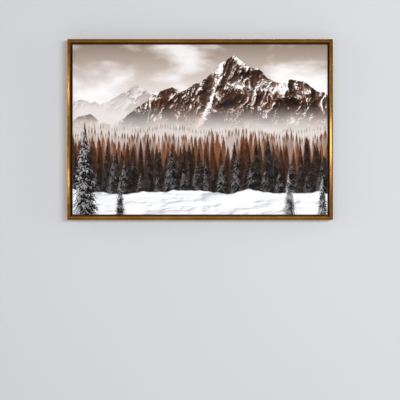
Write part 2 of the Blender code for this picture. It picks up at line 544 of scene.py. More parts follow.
@dataclass(frozen=True)
class GiltFoil(Finish):
    """Hot-stamped gold foil over a wooden moulding.

    It mirrors softly, and the fine grain of the wood under it draws its highlights out. The tone
    drifts from warm gold to bronze along the length, and the arrises and mitres are rubbed
    through to the brown priming here and there.
    """

    side: Side
    middle: Vector
    reach: float
    face_w: float
    arris_y: float
    half_length: float
    name: str = "gilt_foil"
    gold: str = "#ECB34F"
    bronze: str = "#BC7C31"
    priming: str = "#4A2A18"
    grain_mm: float = 0.35  # real foil grain is about 0.1 mm, drawn coarser so that it shows
    grain_times: float = 60.0
    drift_mm: float = 70.0
    rub_mm: float = 0.5

    def surface(self, graph: Graph) -> Inputs:
        """Lays out the foil.

        Args:
            graph: The material's graph.

        Returns:
            The shader's inputs.
        """
        put, place = graph.add, graph.place_mm(self.middle)
        lengthwise = put("v*", place, self.side.grain.drawn_out(self.grain_times))
        grain = put("noise", lengthwise, 1 / self.grain_mm, 3.0)
        drift = put("noise", place, 1 / self.drift_mm, 4.0, 0.6)
        speck = put("noise", place, 0.7, 3.0, 0.7)
        out = put("VectorMath DOT_PRODUCT", place, tuple(self.side.outward)).outputs["Value"]
        along = put("VectorMath DOT_PRODUCT", place, tuple(self.side.along)).outputs["Value"]
        inward, half_face = put("-", self.reach / MM, out), self.face_w / MM / 2
        off_arris = put("-", half_face, put("abs", put("-", inward, half_face)))
        off_arris = put("max", off_arris, put("-", put("parts", place).outputs["Y"], self.arris_y / MM))
        off_mitre = put("-", put("-", self.half_length / MM, inward), put("abs", along))
        near = put("min", put("abs", off_arris), put("*", off_mitre, 0.8))
        rubbed = put("range", near, self.rub_mm, 0.0, 0.0, 1.0)
        rubbed = put("*", rubbed, put("range", speck, 0.52, 0.62, 0.0, 0.85))
        tone = put("range", put("*+", put("-", grain, 0.5), 0.5, drift), 0.3, 0.7)
        colour = put("mix", rubbed, put("ramp", tone, stops={0: self.bronze, 1: self.gold}), self.priming)
        metal = put("-", 1.0, rubbed)
        rough = put("*+", rubbed, 0.35, put("range", drift, 0.3, 0.7, 0.18, 0.25))
        lacquer = {"Coat Weight": put("*", metal, 0.35), "Coat Roughness": 0.18}
        relief = (grain, 0.25, 0.02)
        return {"Base Color": colour, "Metallic": metal, "Roughness": rough, "Relief": relief, **lacquer}


@dataclass(frozen=True)
class UmberPaint(Finish):
    """Thin umber paint, brushed into the moulding's rebate. It is matt, and near black in the shade."""

    grain: Grain
    name: str = "umber_paint"
    tone: str = "#5D3F1D"
    thin: str = "#704D29"
    fibre_mm: float = 0.6

    def surface(self, graph: Graph) -> Inputs:
        """Lays out the paint.

        Args:
            graph: The material's graph.

        Returns:
            The shader's inputs.
        """
        put, place = graph.add, graph.place_mm()
        fibre = put("noise", put("v*", place, self.grain.drawn_out(40.0)), 1 / self.fibre_mm, 3.0)
        colour = put("ramp", put("range", fibre, 0.45, 0.75), stops={0: self.tone, 1: self.thin})
        rough = put("range", fibre, 0.3, 0.7, 0.48, 0.62)
        return {"Base Color": colour, "Roughness": rough, "Relief": (fibre, 0.3, 0.03)}


@dataclass(frozen=True)
class PlanedPine(Finish):
    """Planed and unfinished pine: cream early wood, amber late wood, fine fibres and a few knots."""

    grain: Grain
    heart: tuple[float, float, float] = (23.0, 31.0, 23.0)  # mm from the piece's middle to the pith
    name: str = "planed_pine"
    early: str = "#E7D2A8"
    middle: str = "#DDBE8A"
    late: str = "#BE8A50"
    knot: str = "#7A4A28"
    ring_mm: float = 3.4
    fibre_mm: float = 0.5

    def surface(self, graph: Graph) -> Inputs:
        """Lays out the wood.

        Args:
            graph: The material's graph.

        Returns:
            The shader's inputs.
        """
        put, place = graph.add, graph.place_mm()
        wander = put("noise", put("v*", place, self.grain.drawn_out(7.0)), 0.035, 2.0)
        knots = put("TexVoronoi", put("v*", place, self.grain.drawn_out(3.0)), 0.03)
        near_knot = put("ease", knots, 0.24, 0.03)
        section = put("v+", put("v*", place, self.grain.value), self.heart)
        radius = put("*+", wander, 26.0, put("VectorMath LENGTH", section).outputs["Value"])
        ring = put("fract", put("/", put("*+", near_knot, 7.0, radius), self.ring_mm))
        rings = {0: self.early, 0.5: self.middle, 0.86: self.late, 0.94: self.middle, 1: self.early}
        lengthwise = put("v*", place, self.grain.drawn_out(45.0))
        fibre = put("noise", lengthwise, 1 / self.fibre_mm, 4.0, 0.7)
        colour = put("scale", put("ramp", ring, stops=rings), put("range", fibre, 0.25, 0.75, 0.82, 1.12))
        colour = put("mix", put("range", near_knot, 0.55, 0.8, 0.0, 0.9), colour, self.knot)
        rough = put("range", fibre, 0.3, 0.7, 0.6, 0.74)
        relief = (put("*+", ring, -0.3, fibre), 0.4, 0.05)
        return {"Base Color": colour, "Roughness": rough, "Relief": relief}


@dataclass(frozen=True)
class SawnBeech(Finish):
    """Sawn beech: an even pinkish tan with short dark flecks and faint saw marks."""

    grain: Grain
    name: str = "sawn_beech"
    tan: str = "#CFA27A"
    rosy: str = "#B98460"
    fleck: str = "#8A5B3C"
    fleck_mm: float = 0.45
    saw_mm: float = 1.1

    def surface(self, graph: Graph) -> Inputs:
        """Lays out the wood.

        Args:
            graph: The material's graph.

        Returns:
            The shader's inputs.
        """
        put, place = graph.add, graph.place_mm()
        lengthwise = put("v*", place, self.grain.drawn_out(6.0))
        tone = put("range", put("noise", lengthwise, 0.22, 3.0), 0.3, 0.7)
        flecks = put("range", put("noise", lengthwise, 1 / self.fleck_mm, 1.0), 0.62, 0.7, 0.0, 0.7)
        colour = put("mix", flecks, put("ramp", tone, stops={0: self.rosy, 1: self.tan}), self.fleck)
        ridges = put("TexWave", place, 0.31 / self.saw_mm, 1.5, 2.0)
        return {"Base Color": colour, "Roughness": 0.62, "Relief": (ridges, 0.3, 0.06)}


@dataclass(frozen=True)
class ZincPlate(Finish):
    """Bright zinc plating on steel: a cool grey metal, slightly clouded, with drawn scratches."""

    name: str = "bright_zinc_plate"
    bright: str = "#D4D3CE"
    clouded: str = "#A9A69C"
    cloud_mm: float = 2.2
    scratch_mm: float = 0.18

    def surface(self, graph: Graph) -> Inputs:
        """Lays out the plating.

        Args:
            graph: The material's graph.

        Returns:
            The shader's inputs.
        """
        put, place = graph.add, graph.place_mm()
        cloud = put("noise", place, 1 / self.cloud_mm, 4.0, 0.6)
        scratch = put("noise", put("v*", place, Grain.ACROSS.drawn_out(18.0)), 1 / self.scratch_mm, 2.0)
        colour = put("ramp", put("range", cloud, 0.35, 0.65), stops={0: self.clouded, 1: self.bright})
        rough = put("*+", cloud, 0.28, 0.2)
        return {"Base Color": colour, "Metallic": 1.0, "Roughness": rough, "Relief": (scratch, 0.2, 0.02)}


@dataclass(frozen=True)
class BlackRubber(Finish):
    """Moulded black rubber: matt, with a fine pebble and a little pale dust."""

    name: str = "black_rubber"
    tone: str = "#232221"
    dust: str = "#4A4845"
    pebble_mm: float = 0.3

    def surface(self, graph: Graph) -> Inputs:
        """Lays out the rubber.

        Args:
            graph: The material's graph.

        Returns:
            The shader's inputs.
        """
        put, place = graph.add, graph.place_mm()
        pebble = put("noise", place, 1 / self.pebble_mm, 2.0)
        dust = put("range", put("noise", place, 0.5, 4.0), 0.45, 0.75)
        colour = put("ramp", dust, stops={0: self.tone, 1: self.dust})
        return {"Base Color": colour, "Roughness": 0.82, "Relief": (pebble, 0.3, 0.05)}


@dataclass(frozen=True)
class MattPlaster(Finish):
    """Painted plaster on the wall. It shows from its front only, so that the picture's back can be seen."""

    name: str = "matt_plaster"
    paint: str = "#CACCCF"
    one_sided = True

    def surface(self, graph: Graph) -> Inputs:
        """Lays out the wall, with the pebble that a roller leaves.

        Args:
            graph: The material's graph.

        Returns:
            The shader's inputs.
        """
        roller = graph.add("noise", graph.place_mm(), 0.12, 4.0, 0.6)
        return {"Base Color": self.paint, "Roughness": 0.9, "Relief": (roller, 0.15, 0.4)}


@dataclass(frozen=True)
class PaleFloor(Finish):
    """A plain pale studio floor."""

    name: str = "pale_floor"
    paint: str = "#CFCDCB"

    def surface(self, graph: Graph) -> Inputs:
        """Lays out the floor.

        Args:
            graph: The material's graph.

        Returns:
            The shader's inputs.
        """
        cloud = graph.add("noise", graph.place_mm(), 0.004, 2.0)
        rough = graph.add("range", cloud, 0.3, 0.7, 0.8, 0.9)
        return {"Base Color": self.paint, "Roughness": rough}


@dataclass(frozen=True, kw_only=True)
class WovenCotton(Finish):
    """What both faces of the canvas share: the threads of a plain weave, over and under one another.

    Real artists' cotton has a thread every 0.5 mm. It is drawn coarser so that it shows.
    """

    thread_mm: float = 1.3
    slub_mm: float = 9.0

    def threads(self, graph: Graph, place: Node) -> Node:
        """Lays out the weave.

        Args:
            graph: The graph to add to.
            place: The place on the flat cloth, in millimetres.

        Returns:
            The threads' height, from 0 to 1.
        """
        put = graph.add
        slub = put("noise2", place, 1 / self.slub_mm, 3.0).outputs["Color"]
        nudge = put("scale", put("v-", slub, (0.5, 0.5, 0.5)), 1.2)
        across = put("parts", put("scale", put("v+", place, nudge), 1 / self.thread_mm)).outputs
        crowns = [put("Math SINE", put("*", put("fract", across[axis]), math.pi)) for axis in "XY"]
        warp, weft = (put("*", one, put("*+", other, 0.5, 0.5)) for one, other in (crowns, crowns[::-1]))
        cells = put("+", *(put("Math FLOOR", across[axis]) for axis in "XY"))
        return put("Mix FLOAT", put("abs", put("Math MODULO", cells, 2.0)), warp, weft)


@dataclass(frozen=True, kw_only=True)
class RawCotton(WovenCotton):
    """The back of unbleached cotton canvas: warm cream threads with dark specks of seed husk, and a painted
    shade in the hollows between the threads.
    """

    name: str = "raw_cotton_canvas"
    cream: str = "#EDE4D2"
    # shade: the colour of the painted shade in the hollows between the threads
    shade: str = "#CFC2A9"
    husk: str = "#8C7350"

    def surface(self, graph: Graph) -> Inputs:
        """Lays out the cloth.

        Args:
            graph: The material's graph.

        Returns:
            The shader's inputs.
        """
        put, flat = graph.add, graph.cut_mm()
        threads = self.threads(graph, flat)
        # The colour is darker towards the hollows between the threads, which is painted shade, and it drifts
        # in slow clouds of tone.
        light = put("*+", threads, 0.55, put("*+", put("noise2", flat, 0.018, 5.0, 0.6), 0.24, 0.13))
        colour = put("ramp", put("range", light, 0.2, 0.75), stops={0: self.shade, 1: self.cream})
        husks = put("range", put("noise2", flat, 0.6, 2.0), 0.73, 0.78, 0.0, 0.8)
        colour = put("mix", husks, colour, self.husk)
        relief = (threads, 0.6, 0.12)
        return {"Base Color": colour, "Roughness": 0.92, "Specular IOR Level": 0.2, "Relief": relief}


@dataclass(frozen=True, kw_only=True)
class PrintedCanvas(WovenCotton):
    """Primed cotton canvas with a pigment print: matt, its weave just raised through the primer.

    The print runs on round the edges and ends on the back, where the white primer shows. Along
    the folds the primer has cracked through the ink in fine specks.
    """

    half: tuple[float, float]
    turn_mm: float
    name: str = "printed_cotton_canvas"
    primer: str = "#F1EEE8"
    bleed_mm: float = 36.0
    crack_mm: float = 1.0

    def surface(self, graph: Graph) -> Inputs:
        """Lays out the cloth and its print.

        Args:
            graph: The material's graph.

        Returns:
            The shader's inputs.
        """
        put, flat = graph.add, graph.cut_mm()
        threads = self.threads(graph, flat)
        picture = WinterLandscape(graph, flat).colour()

        # How far out past the picture's edge a place is: negative on the front.
        edge = (*(half / MM for half in self.half), 0.0)
        past = put("parts", put("v-", put("VectorMath ABSOLUTE", flat), edge)).outputs
        beyond = put("max", past["X"], past["Y"])
        flecks = put("noise2", flat, 0.5, 4.0, 0.7)
        bare = put("range", put("*+", flecks, 1.6, beyond), self.bleed_mm, self.bleed_mm + 0.8)
        cracked = put("range", put("abs", put("+", beyond, self.turn_mm / 2)), self.crack_mm, 0.0)
        worn = put("max", bare, put("*", cracked, put("range", flecks, 0.57, 0.63, 0.0, 0.6)))
        # The print is painted a little darker in the hollows of the weave and a little lighter on its
        # crowns: a painted shade and highlight of the threads.
        ink = put("scale", picture, put("*+", threads, 0.1, 0.93))
        colour, rough = put("mix", worn, ink, self.primer), put("*+", threads, -0.06, 0.68)
        relief = (threads, 0.4, 0.06)
        return {"Base Color": colour, "Roughness": rough, "Specular IOR Level": 0.3, "Relief": relief}


@dataclass(frozen=True)
class ConiferRow:
    """One row of conifers across the print, with a stand of taller ones. Lengths are in mm."""

    pitch: float
    height: float
    foot: float
    seed: float
    shade: str
    frost: str
    mist: str
    haze: float
    lit: float = 0.35
    slender: float = 0.26
    ragged: float = 1.0
    sway: float = 20.0
    swell: float = 1.6
    wander: float = 0.5
    at: float = 0.0
    reach: float = 100.0
    rise: float = 0.0


NEAR = {"wander": 0.16, "ragged": 3.4, "swell": 1.0}  # the tall trees at the print's two sides
Peak = tuple[float, float, float]


class WinterLandscape:
    """The picture on the canvas: a snowy massif over russet and black forest, in mist.

    It is a made-up view, laid out in layers from the sky forward. Lengths are in millimetres from
    the picture's middle, and each layer is painted over the colour of the ones behind it.
    """

    ROWS = (
        ConiferRow(6.5, 15, -8, 3, "#9A877C", "#CFC5BE", "#DAD3CE", 0.8, ragged=0.5, sway=30),
        ConiferRow(8, 20, -22, 5, "#75543F", "#B5A69B", "#C9BEB6", 0.75, ragged=0.6, sway=34),
        ConiferRow(10, 26, -36, 7, "#6A3A20", "#AA8B74", "#A48F81", 0.7, ragged=0.8, sway=38),
        ConiferRow(13, 33, -51, 9, "#663216", "#A97B58", "#7A5640", 0.55, 0.3, ragged=1.0, sway=42),
        ConiferRow(16, 42, -68, 12, "#40200F", "#8A6645", "#40261A", 0.5, 0.28, ragged=1.3, sway=42),
        ConiferRow(20, 52, -88, 15, "#20110C", "#7E6858", "#1F130E", 0.4, 0.28, ragged=1.6, sway=36),
        ConiferRow(26, 60, -110, 17, "#100A09", "#9A8C86", "#0F0A08", 0.3, 0.24, ragged=2.0, sway=30),
        ConiferRow(33, 70, -132, 21, "#090607", "#D6D0CF", "#080606", 0.2, 0.3, 0.24, 2.4, 24),
    )
    FOREGROUND = (
        ConiferRow(
            88, 1, -176, 26, "#0B0808", "#DAD8DA", "#0A0708", 0.2, 0.62, 0.17, sway=12,
            at=-262, reach=150, rise=300, **NEAR,
        ),
        ConiferRow(
            88, 1, -196, 27.35, "#090607", "#E6E4E6", "#080606", 0.15, 0.68, 0.18, sway=10,
            at=292, reach=170, rise=212, **NEAR,
        ),
    )
    FORM = ("pitch", "height", "seed", "slender", "ragged", "swell", "wander", "at", "reach", "rise")
    # How far apart two seeds lie in the noise of the ridges, the ground, the mist and the trees'
    # heights, in mm, and how many trees apart they lie along a row.
    RIDGES, GROUND, MIST, WAVES, CELLS = 137.0, 91.0, 311.0, 53.0, 0.371

    def __init__(self, graph: Graph, place: Node) -> None:
        """Starts the picture.

        Args:
            graph: The graph to add to.
            place: The place on the flat cloth, in millimetres, with Y up.
        """
        self.put, self.place = graph.add, place
        self.x, self.z = graph.add("parts", place).outputs[:2]
        self.conifers, self.relief = self.conifer_group(), self.relief_group()
        self.view = self.sky()

    @classmethod
    def conifer_group(cls) -> NodeTree:
        """A row of conifers: the row is cut into cells, each with one tree of drooping boughs.

        Returns:
            A group that gives the trees' mask, the snow on them, the height up each tree and a
            number that differs from tree to tree.
        """
        graph = node_group("conifers", ("place", "foot", *cls.FORM), ("mask", "snow", "up", "tint"))
        put, came = graph.add, graph.add("NodeGroupInput").outputs
        place, foot, pitch, height, seed, slender, ragged, swell, wander, at, reach, rise = came[:12]
        jitter = put("-", put("noise2", place, 0.35, 3.0, 0.65), 0.5)
        limbs = put("-", put("noise2", place, 0.085, 2.0), 0.5)
        spot = put("parts", place).outputs
        cell = put("*+", seed, cls.CELLS, put("/", spot["X"], pitch))
        number = put("Math FLOOR", cell)
        dice = put("TexWhiteNoise 2D", put("CombineXYZ", number, seed)).outputs["Color"]
        throw1, throw2, throw3 = put("SeparateColor", dice).outputs
        trunk = put("*+", put("-", throw1, 0.5), wander, 0.5)
        aside = put("*", put("-", put("fract", cell), trunk), pitch)
        off = put("abs", aside)

        # The heights swell and sink along the row, and rise in the tall stand.
        middle = put("*", put("*+", seed, -cls.CELLS, put("+", number, 0.5)), pitch)
        wave = put("noise1", put("*+", seed, cls.WAVES, middle), 0.013, 2.0)
        away = put("/", put("abs", put("-", middle, at)), reach)
        tall = put("*+", put("*", put("-", wave, 0.5), swell), height, height)
        tall = put("*+", put("ease", away, 1.0, 0.0), rise, tall)
        tall = put("*", tall, put("*+", put("Math POWER", throw2, 1.5), -0.6, 1.0))
        uneven = put("*", put("-", throw3, 0.5), put("*", height, 0.15))
        up = put("/", put("-", spot["Y"], put("+", uneven, foot)), tall)

        # Boughs in whorls, which droop to their tips.
        droop = put("*+", put("/", off, tall), 0.9, up)
        spacing = put("*+", tall, 0.045, 4.4)
        whorls = put("*", put("/", tall, spacing), put("*+", throw1, 0.4, 0.8))
        turn = put("*+", put("Math GREATER_THAN", aside, 0.0), 0.47, put("*", throw2, 7.0))
        phase = put("*+", droop, whorls, put("/", put("*", jitter, 6.0), spacing))
        phase = put("fract", put("+", put("*+", limbs, 2.4, turn), phase))
        taper = put("Math POWER", put("max", put("-", 1.0, up), 0.0), 0.9)
        girth = put("*", slender, put("*+", throw3, 0.5, 0.75))
        wide = put("*", put("*", put("*", tall, girth), taper), put("*+", phase, -0.5, 1.0))
        rough = put("*", put("*", jitter, ragged), put("*+", put("min", wide, 14.0), 0.55, 0.6))
        mask = put("range", put("-", put("+", wide, rough), off), -0.3, 0.5)
        mask = put("*", mask, put("range", up, 1.0, 0.97))
        mask = put("*", mask, put("Math GREATER_THAN", tall, 4.5))
        lit = put("*+", put("/", aside, put("max", wide, 1.0)), 0.26, put("*+", jitter, 1.0, phase))
        snow = put("ease", put("*+", limbs, 1.6, lit), 0.42, 0.08)
        put("NodeGroupOutput", mask, snow, up, throw3)
        return graph.tree

    @staticmethod
    def relief_group() -> NodeTree:
        """The light on rough ground: how much higher it is a little way towards the light.

        Returns:
            A group that gives the light, below 0 in the shade.
        """
        graph = node_group("relief", ("place", "scale", "step", "detail"), ("light",))
        put = graph.add
        place, scale, step, detail = put("NodeGroupInput").outputs[:4]
        ridges = {"Lacunarity": 2.1, "Offset": 0.95, "Gain": 1.6}
        kind = {"noise_type": "RIDGED_MULTIFRACTAL", "normalize": False}
        moved = put("v+", place, put("CombineXYZ", put("*", step, -0.8), step))
        heights = [put("noise2", spot, scale, detail, 0.55, ridges, **kind) for spot in (place, moved)]
        put("NodeGroupOutput", put("-", *heights))
        return graph.tree

    def paint(self, mask: Node, front: object) -> None:
        """Paints a layer over the view."""
        self.view = self.put("mix", mask, self.view, front)

    def sky(self) -> Node:
        """A pale winter sky that darkens upwards, with long soft clouds.

        Returns:
            Its colour.
        """
        put, shades = self.put, {0: "#FBFAF9", 0.4: "#E9E3DF", 0.75: "#B8A99F", 1: "#8A796E"}
        base = put("ramp", put("range", self.z, -20.0, 205.0), stops=shades)
        long = put("v*", self.place, (1.0, 2.2, 1.0))
        cloud = put("noise2", long, 0.0065, 6.0, 0.5, {"Distortion": 0.15})
        return put("mix", put("ease", cloud, 0.4, 0.7, 0.0, 0.75), base, "#FBFAFA")

    def skyline(
        self, height: float, rise: float, scale: float, seed: float, *peaks: Peak, detail: float = 6.0
    ) -> Node:
        """The height of a ridge across the picture.

        Args:
            height: The ridge's mean height.
            rise: How far it goes up and down.
            scale: Its waves per millimetre.
            seed: Which stretch of ridge this is.
            *peaks: (x, top, slope) of each peak that stands out of it.
            detail: How fine it gets.

        Returns:
            The height at each X.
        """
        put = self.put
        rough = put("-", put("noise1", put("+", self.x, seed * self.RIDGES), scale, detail, 0.52), 0.5)
        line = put("*+", rough, rise, height)
        for at, top, slope in peaks:
            peak = put("*+", put("abs", put("-", self.x, at)), -slope, top)
            line = put("Math SMOOTH_MAX", line, put("*+", rough, rise * 0.7, peak), 12.0)
        return line

    def below(self, line: Node, soft: float = 0.6) -> Node:
        """The mask of what lies below a skyline."""
        return self.put("range", self.put("-", line, self.z), -soft, soft)

    def far_range(self) -> None:
        """Paints a pale range, far off."""
        put, shades = self.put, {0: "#A09490", 0.5: "#C2B8B3", 1: "#E8E3E0"}
        line = self.skyline(62.0, 70.0, 0.012, 3.0, (-150.0, 108.0, 0.55))
        light = put("Group", self.place, 0.022, 2.5, 5.0, node_tree=self.relief)
        face = put("ramp", put("range", light, -0.28, 0.3), stops=shades)
        self.paint(self.below(line), put("mix", put("range", self.z, 20.0, 90.0), "#DAD3CE", face))

    def massif(self) -> None:
        """Paints the mountain: dark rock, rusty lower down, with snow where the light falls."""
        put = self.put
        peaks = (84.0, 178.0, 0.68), (-66.0, 100.0, 0.55), (214.0, 122.0, 0.42)
        line = self.skyline(20.0, 62.0, 0.011, 11.0, *peaks)
        push = put("v-", put("noise2", self.place, 0.014, 3.0).outputs["Color"], (0.5, 0.5, 0.5))
        bent = put("v*", put("v+", self.place, put("scale", push, 38.0)), (1.0, 0.62, 1.0))
        broad = put("Group", bent, 0.010, 3.2, 2.0, node_tree=self.relief)
        fine = put("Group", bent, 0.034, 0.9, 7.0, node_tree=self.relief)
        grain = put("-", put("noise2", bent, 0.22, 5.0, 0.75), 0.5)
        tone = put("*+", grain, 0.5, put("*+", fine, 0.75, put("*", broad, 0.9)))
        tone = put("+", tone, put("range", self.z, -10.0, 170.0, -0.04, 0.1))
        tone = put("range", tone, -0.26, 0.36)
        dark = {0: "#110C0C", 0.3: "#2C1F1B", 0.5: "#54392C", 0.62: "#7B6254"}
        rock = put("ramp", tone, stops={**dark, 0.68: "#CBC1BC", 0.8: "#EEEAE8", 1: "#FAF9F8"})
        rusty = {0: "#160C09", 0.3: "#3F2214", 0.55: "#75421F", 0.78: "#A46F42", 1: "#D9BBA0"}
        patches = put("range", put("noise2", self.place, 0.018, 3.0), 0.42, 0.62)
        patches = put("*", patches, put("range", self.z, 95.0, 10.0, 0.0, 0.75))
        face = put("mix", patches, rock, put("ramp", tone, stops=rusty))
        face = put("mix", put("ease", self.z, 62.0, -12.0, 0.0, 0.85), face, "#D9D1CB")
        self.paint(self.below(line), face)

    def mist(self, low: float, high: float, amount: float, seed: float, tint: str) -> None:
        """Paints a bank of mist.

        Args:
            low: The height up to which it is thickest.
            high: The height where it ends.
            amount: How much it hides, up to 1.
            seed: Which drift of mist this is.
            tint: Its colour.
        """
        put = self.put
        drift = put("VectorMath MULTIPLY_ADD", self.place, (1.0, 3.2, 1.0), (seed * self.MIST, 0.0, 0.0))
        cloud = put("-", put("noise2", drift, 0.011, 5.0, 0.5), 0.5)
        self.paint(put("ease", put("*+", cloud, high - low, self.z), high, low, 0.0, amount), tint)

    def forest(self, row: ConiferRow) -> None:
        """Paints one row of trees.

        Args:
            row: What it is like.
        """
        put = self.put
        roll = put("-", put("noise1", put("+", self.x, row.seed * self.GROUND), 0.008, 2.0), 0.5)
        foot = put("*+", roll, row.sway * 2.0, row.foot)
        form = (getattr(row, size) for size in self.FORM)
        trees = put("Group", self.place, foot, *form, node_tree=self.conifers).outputs
        needles = put("scale", linear(row.shade)[:3], put("*+", trees["tint"], 0.9, 0.6))
        body = put("mix", put("*", trees["snow"], row.lit), needles, row.frost)
        sunk = put("ease", trees["up"], 0.55, -0.15, 0.0, row.haze)
        self.paint(trees["mask"], put("mix", sunk, body, row.mist))

    def snowfield(self) -> None:
        """Paints drifted snow in the foreground, bluish in its hollows."""
        put, shades = self.put, {0: "#BFC1CA", 0.45: "#E9EAEE", 1: "#FBFCFD"}
        line = self.skyline(-150.0, 44.0, 0.0075, 29.0, detail=3.0)
        drifts = put("v*", self.place, (1.0, 3.4, 1.0))
        light = put("Group", drifts, 0.007, 6.0, 4.0, node_tree=self.relief)
        self.paint(self.below(line, 1.2), put("ramp", put("range", light, -0.35, 0.3), stops=shades))

    def colour(self) -> Node:
        """Paints the picture, from the sky forward.

        Returns:
            Its colour.
        """
        self.far_range()
        self.mist(20.0, 78.0, 0.85, 1.0, "#E4DEDA")
        self.massif()
        self.mist(-30.0, 34.0, 0.92, 2.0, "#DCD4CE")
        for row in self.ROWS:
            self.forest(row)
        self.snowfield()
        for row in self.FOREGROUND:
            self.forest(row)
        return self.view


# ---------------------------------------------------------------------------------------------
# Sub-assemblies


@dataclass
class Oblong:
    """What the frame, the bars and the cloth share: four sides round the picture's middle."""

    width: float
    height: float
    centre: Vector

    def half_length(self, side: Side) -> float:
        """Half a side's length along its outer edge."""
        return (self.height if side.upright else self.width) / 2

    def reach(self, side: Side) -> float:
        """How far a side's outer edge is from the middle."""
        return (self.width if side.upright else self.height) / 2


@dataclass
class MitredFrame(Oblong):
    """Four lengths of one section, mitred at 45 degrees."""

    joint: float = 0.00006  # the crack in a tight mitre
    joint_round: float = 0.00012
    arc_steps: int = 6
    smooth_deg: float = 20.0  # rounds the section, and keeps the eased mitres out of its shading

    MITRE = math.sqrt(0.5)  # how far the normal of a mitred end leans along the length

    def turn(self, side: Side) -> Matrix:
        """What takes a top length to its own side."""
        return Matrix.Translation(self.centre) @ Matrix.Rotation(side.value, 4, "Y")

    def length(self, name: str, side: Side, outline: Outline) -> Object:
        """Makes one side as if it were the top one, at no height.

        Args:
            name: The new piece's name.
            side: The side that gives its length.
            outline: (inward, y) points of its section.

        Returns:
            The length, with its ends cut to mitres and eased.
        """
        half, reach = self.half_length(side), self.reach(side)
        points = [Vector((-half, y, reach - inward)) for inward, y in outline]
        piece = drawn_prism(name, points, Vector((2 * half, 0.0, 0.0)))
        with edit_mode(piece):
            for end in (-1, 1):
                pick_all()
                place, facing = (end * (half - self.joint / 2), 0.0, reach), (end, 0.0, -1.0)
                bpy.ops.mesh.bisect(plane_co=place, plane_no=facing, use_fill=True, clear_outer=True)
            pick(piece, "faces", lambda face: abs(abs(face.normal.x) - self.MITRE) < 0.01)
            bpy.ops.mesh.bevel(offset=self.joint_round, segments=2, affect="EDGES")
            turn_outwards()
        return piece


@dataclass
class FloaterFrame(MitredFrame):
    """The gilt moulding, an L in section: a tall thin wall with a crowned face, and a ledge behind."""

    face_w: float = 0.0074
    crown_rise: float = 0.0009
    crown_steps: int = 18
    ledge_t: float = 0.006
    arris_r: float = 0.0005
    back_r: float = 0.0008
    front_y: float = 0.0
    back_y: float = 0.0
    ledge_reach: float = 0.0
    nail_leg: float = 0.005
    nail_t: float = 0.00045
    nail_deep: float = 0.0015
    nail_proud: float = 0.00008
    nail_round: float = 0.00006
    nail_insets: tuple[float, float] = (0.0065, 0.0175)  # from the outer edges, along X and Z

    def section(self) -> Outline:
        """The moulding's section: its face is a shallow parabola between two small arrises.

        Returns:
            Its (inward, y) points.
        """
        crown: list[tuple[float, ...]] = []
        for i in range(self.crown_steps + 1):
            across = 2 * i / self.crown_steps - 1
            arris = () if 0 < i < self.crown_steps else (self.arris_r,)
            y = self.front_y + self.crown_rise * across**2
            crown.append((self.face_w * (across + 1) / 2, y, *arris))
        tip, ledge_y, radius = self.ledge_reach, self.back_y - self.ledge_t, self.back_r
        ledge = [(self.face_w, ledge_y), (tip, ledge_y, radius), (tip, self.back_y, radius)]
        return rounded([(0.0, self.back_y, radius), *crown, *ledge], self.arc_steps)

    def finish_number(self, side: Side, face: bpy.types.MeshPolygon) -> int:
        """Says which finish a face of a length has.

        Args:
            side: The length's side.
            face: The face, while the length still lies as the top one.

        Returns:
            0 for gilt, 1 for umber paint and 2 for bare wood.
        """
        inward = self.reach(side) - face.center.z
        facing_back, on_mitre = face.normal.y > 0.5, abs(face.normal.x) > 0.3
        on_outside = face.normal.z > 0.5 and inward < self.back_r
        on_face = face.center.y < self.front_y + self.crown_rise + self.arris_r * 0.8
        if facing_back or on_mitre:
            return 2
        return 0 if on_outside or on_face else 1

    def build(self) -> None:
        """Makes and dresses the four lengths."""
        wood = {grain: PlanedPine(grain).material() for grain in Grain}
        umber = {grain: UmberPaint(grain).material() for grain in Grain}
        arris_y = self.front_y + self.crown_rise
        for side in Side:
            piece = self.length(f"moulding_{side.label}", side, self.section())
            for face in piece.data.polygons:
                face.material_index = self.finish_number(side, face)
            put_at(piece, self.turn(side))
            reach, half = self.reach(side), self.half_length(side)
            foil = GiltFoil(side, self.centre, reach, self.face_w, arris_y, half).material()
            finishes = [foil, umber[side.grain], wood[side.grain]]
            settle(piece, finishes, "gilt_moulding", f"rail_{side.label}", smooth_deg=self.smooth_deg)

    def v_nails(self) -> None:
        """Two V-nails across the back of each mitre, pressed in flush."""
        leg, thick, made = self.nail_leg, self.nail_t, []
        outline = [(0.0, 0.0), (leg, 0.0), (leg, thick), (thick, thick), (thick, leg), (0.0, leg)]
        depth = Vector((0.0, self.nail_deep + self.nail_proud, 0.0))
        for right, up in CORNERS:
            for inset in self.nail_insets:
                points = []
                for a, b in outline:
                    x, z = self.width / 2 - inset - a, self.height / 2 - inset - b
                    points.append(Vector((right * x, self.back_y - self.nail_deep, self.centre.z + up * z)))
                made.append(drawn_prism("v_nail", points, depth))
        piece = joined("mitre_v_nails", made)
        soften(piece, self.nail_round, 1)
        steel = ZincPlate(name="v_nail_steel", bright="#B9B7B0", clouded="#7F7B72").material()
        settle(piece, [steel], "zinc_plated_steel")


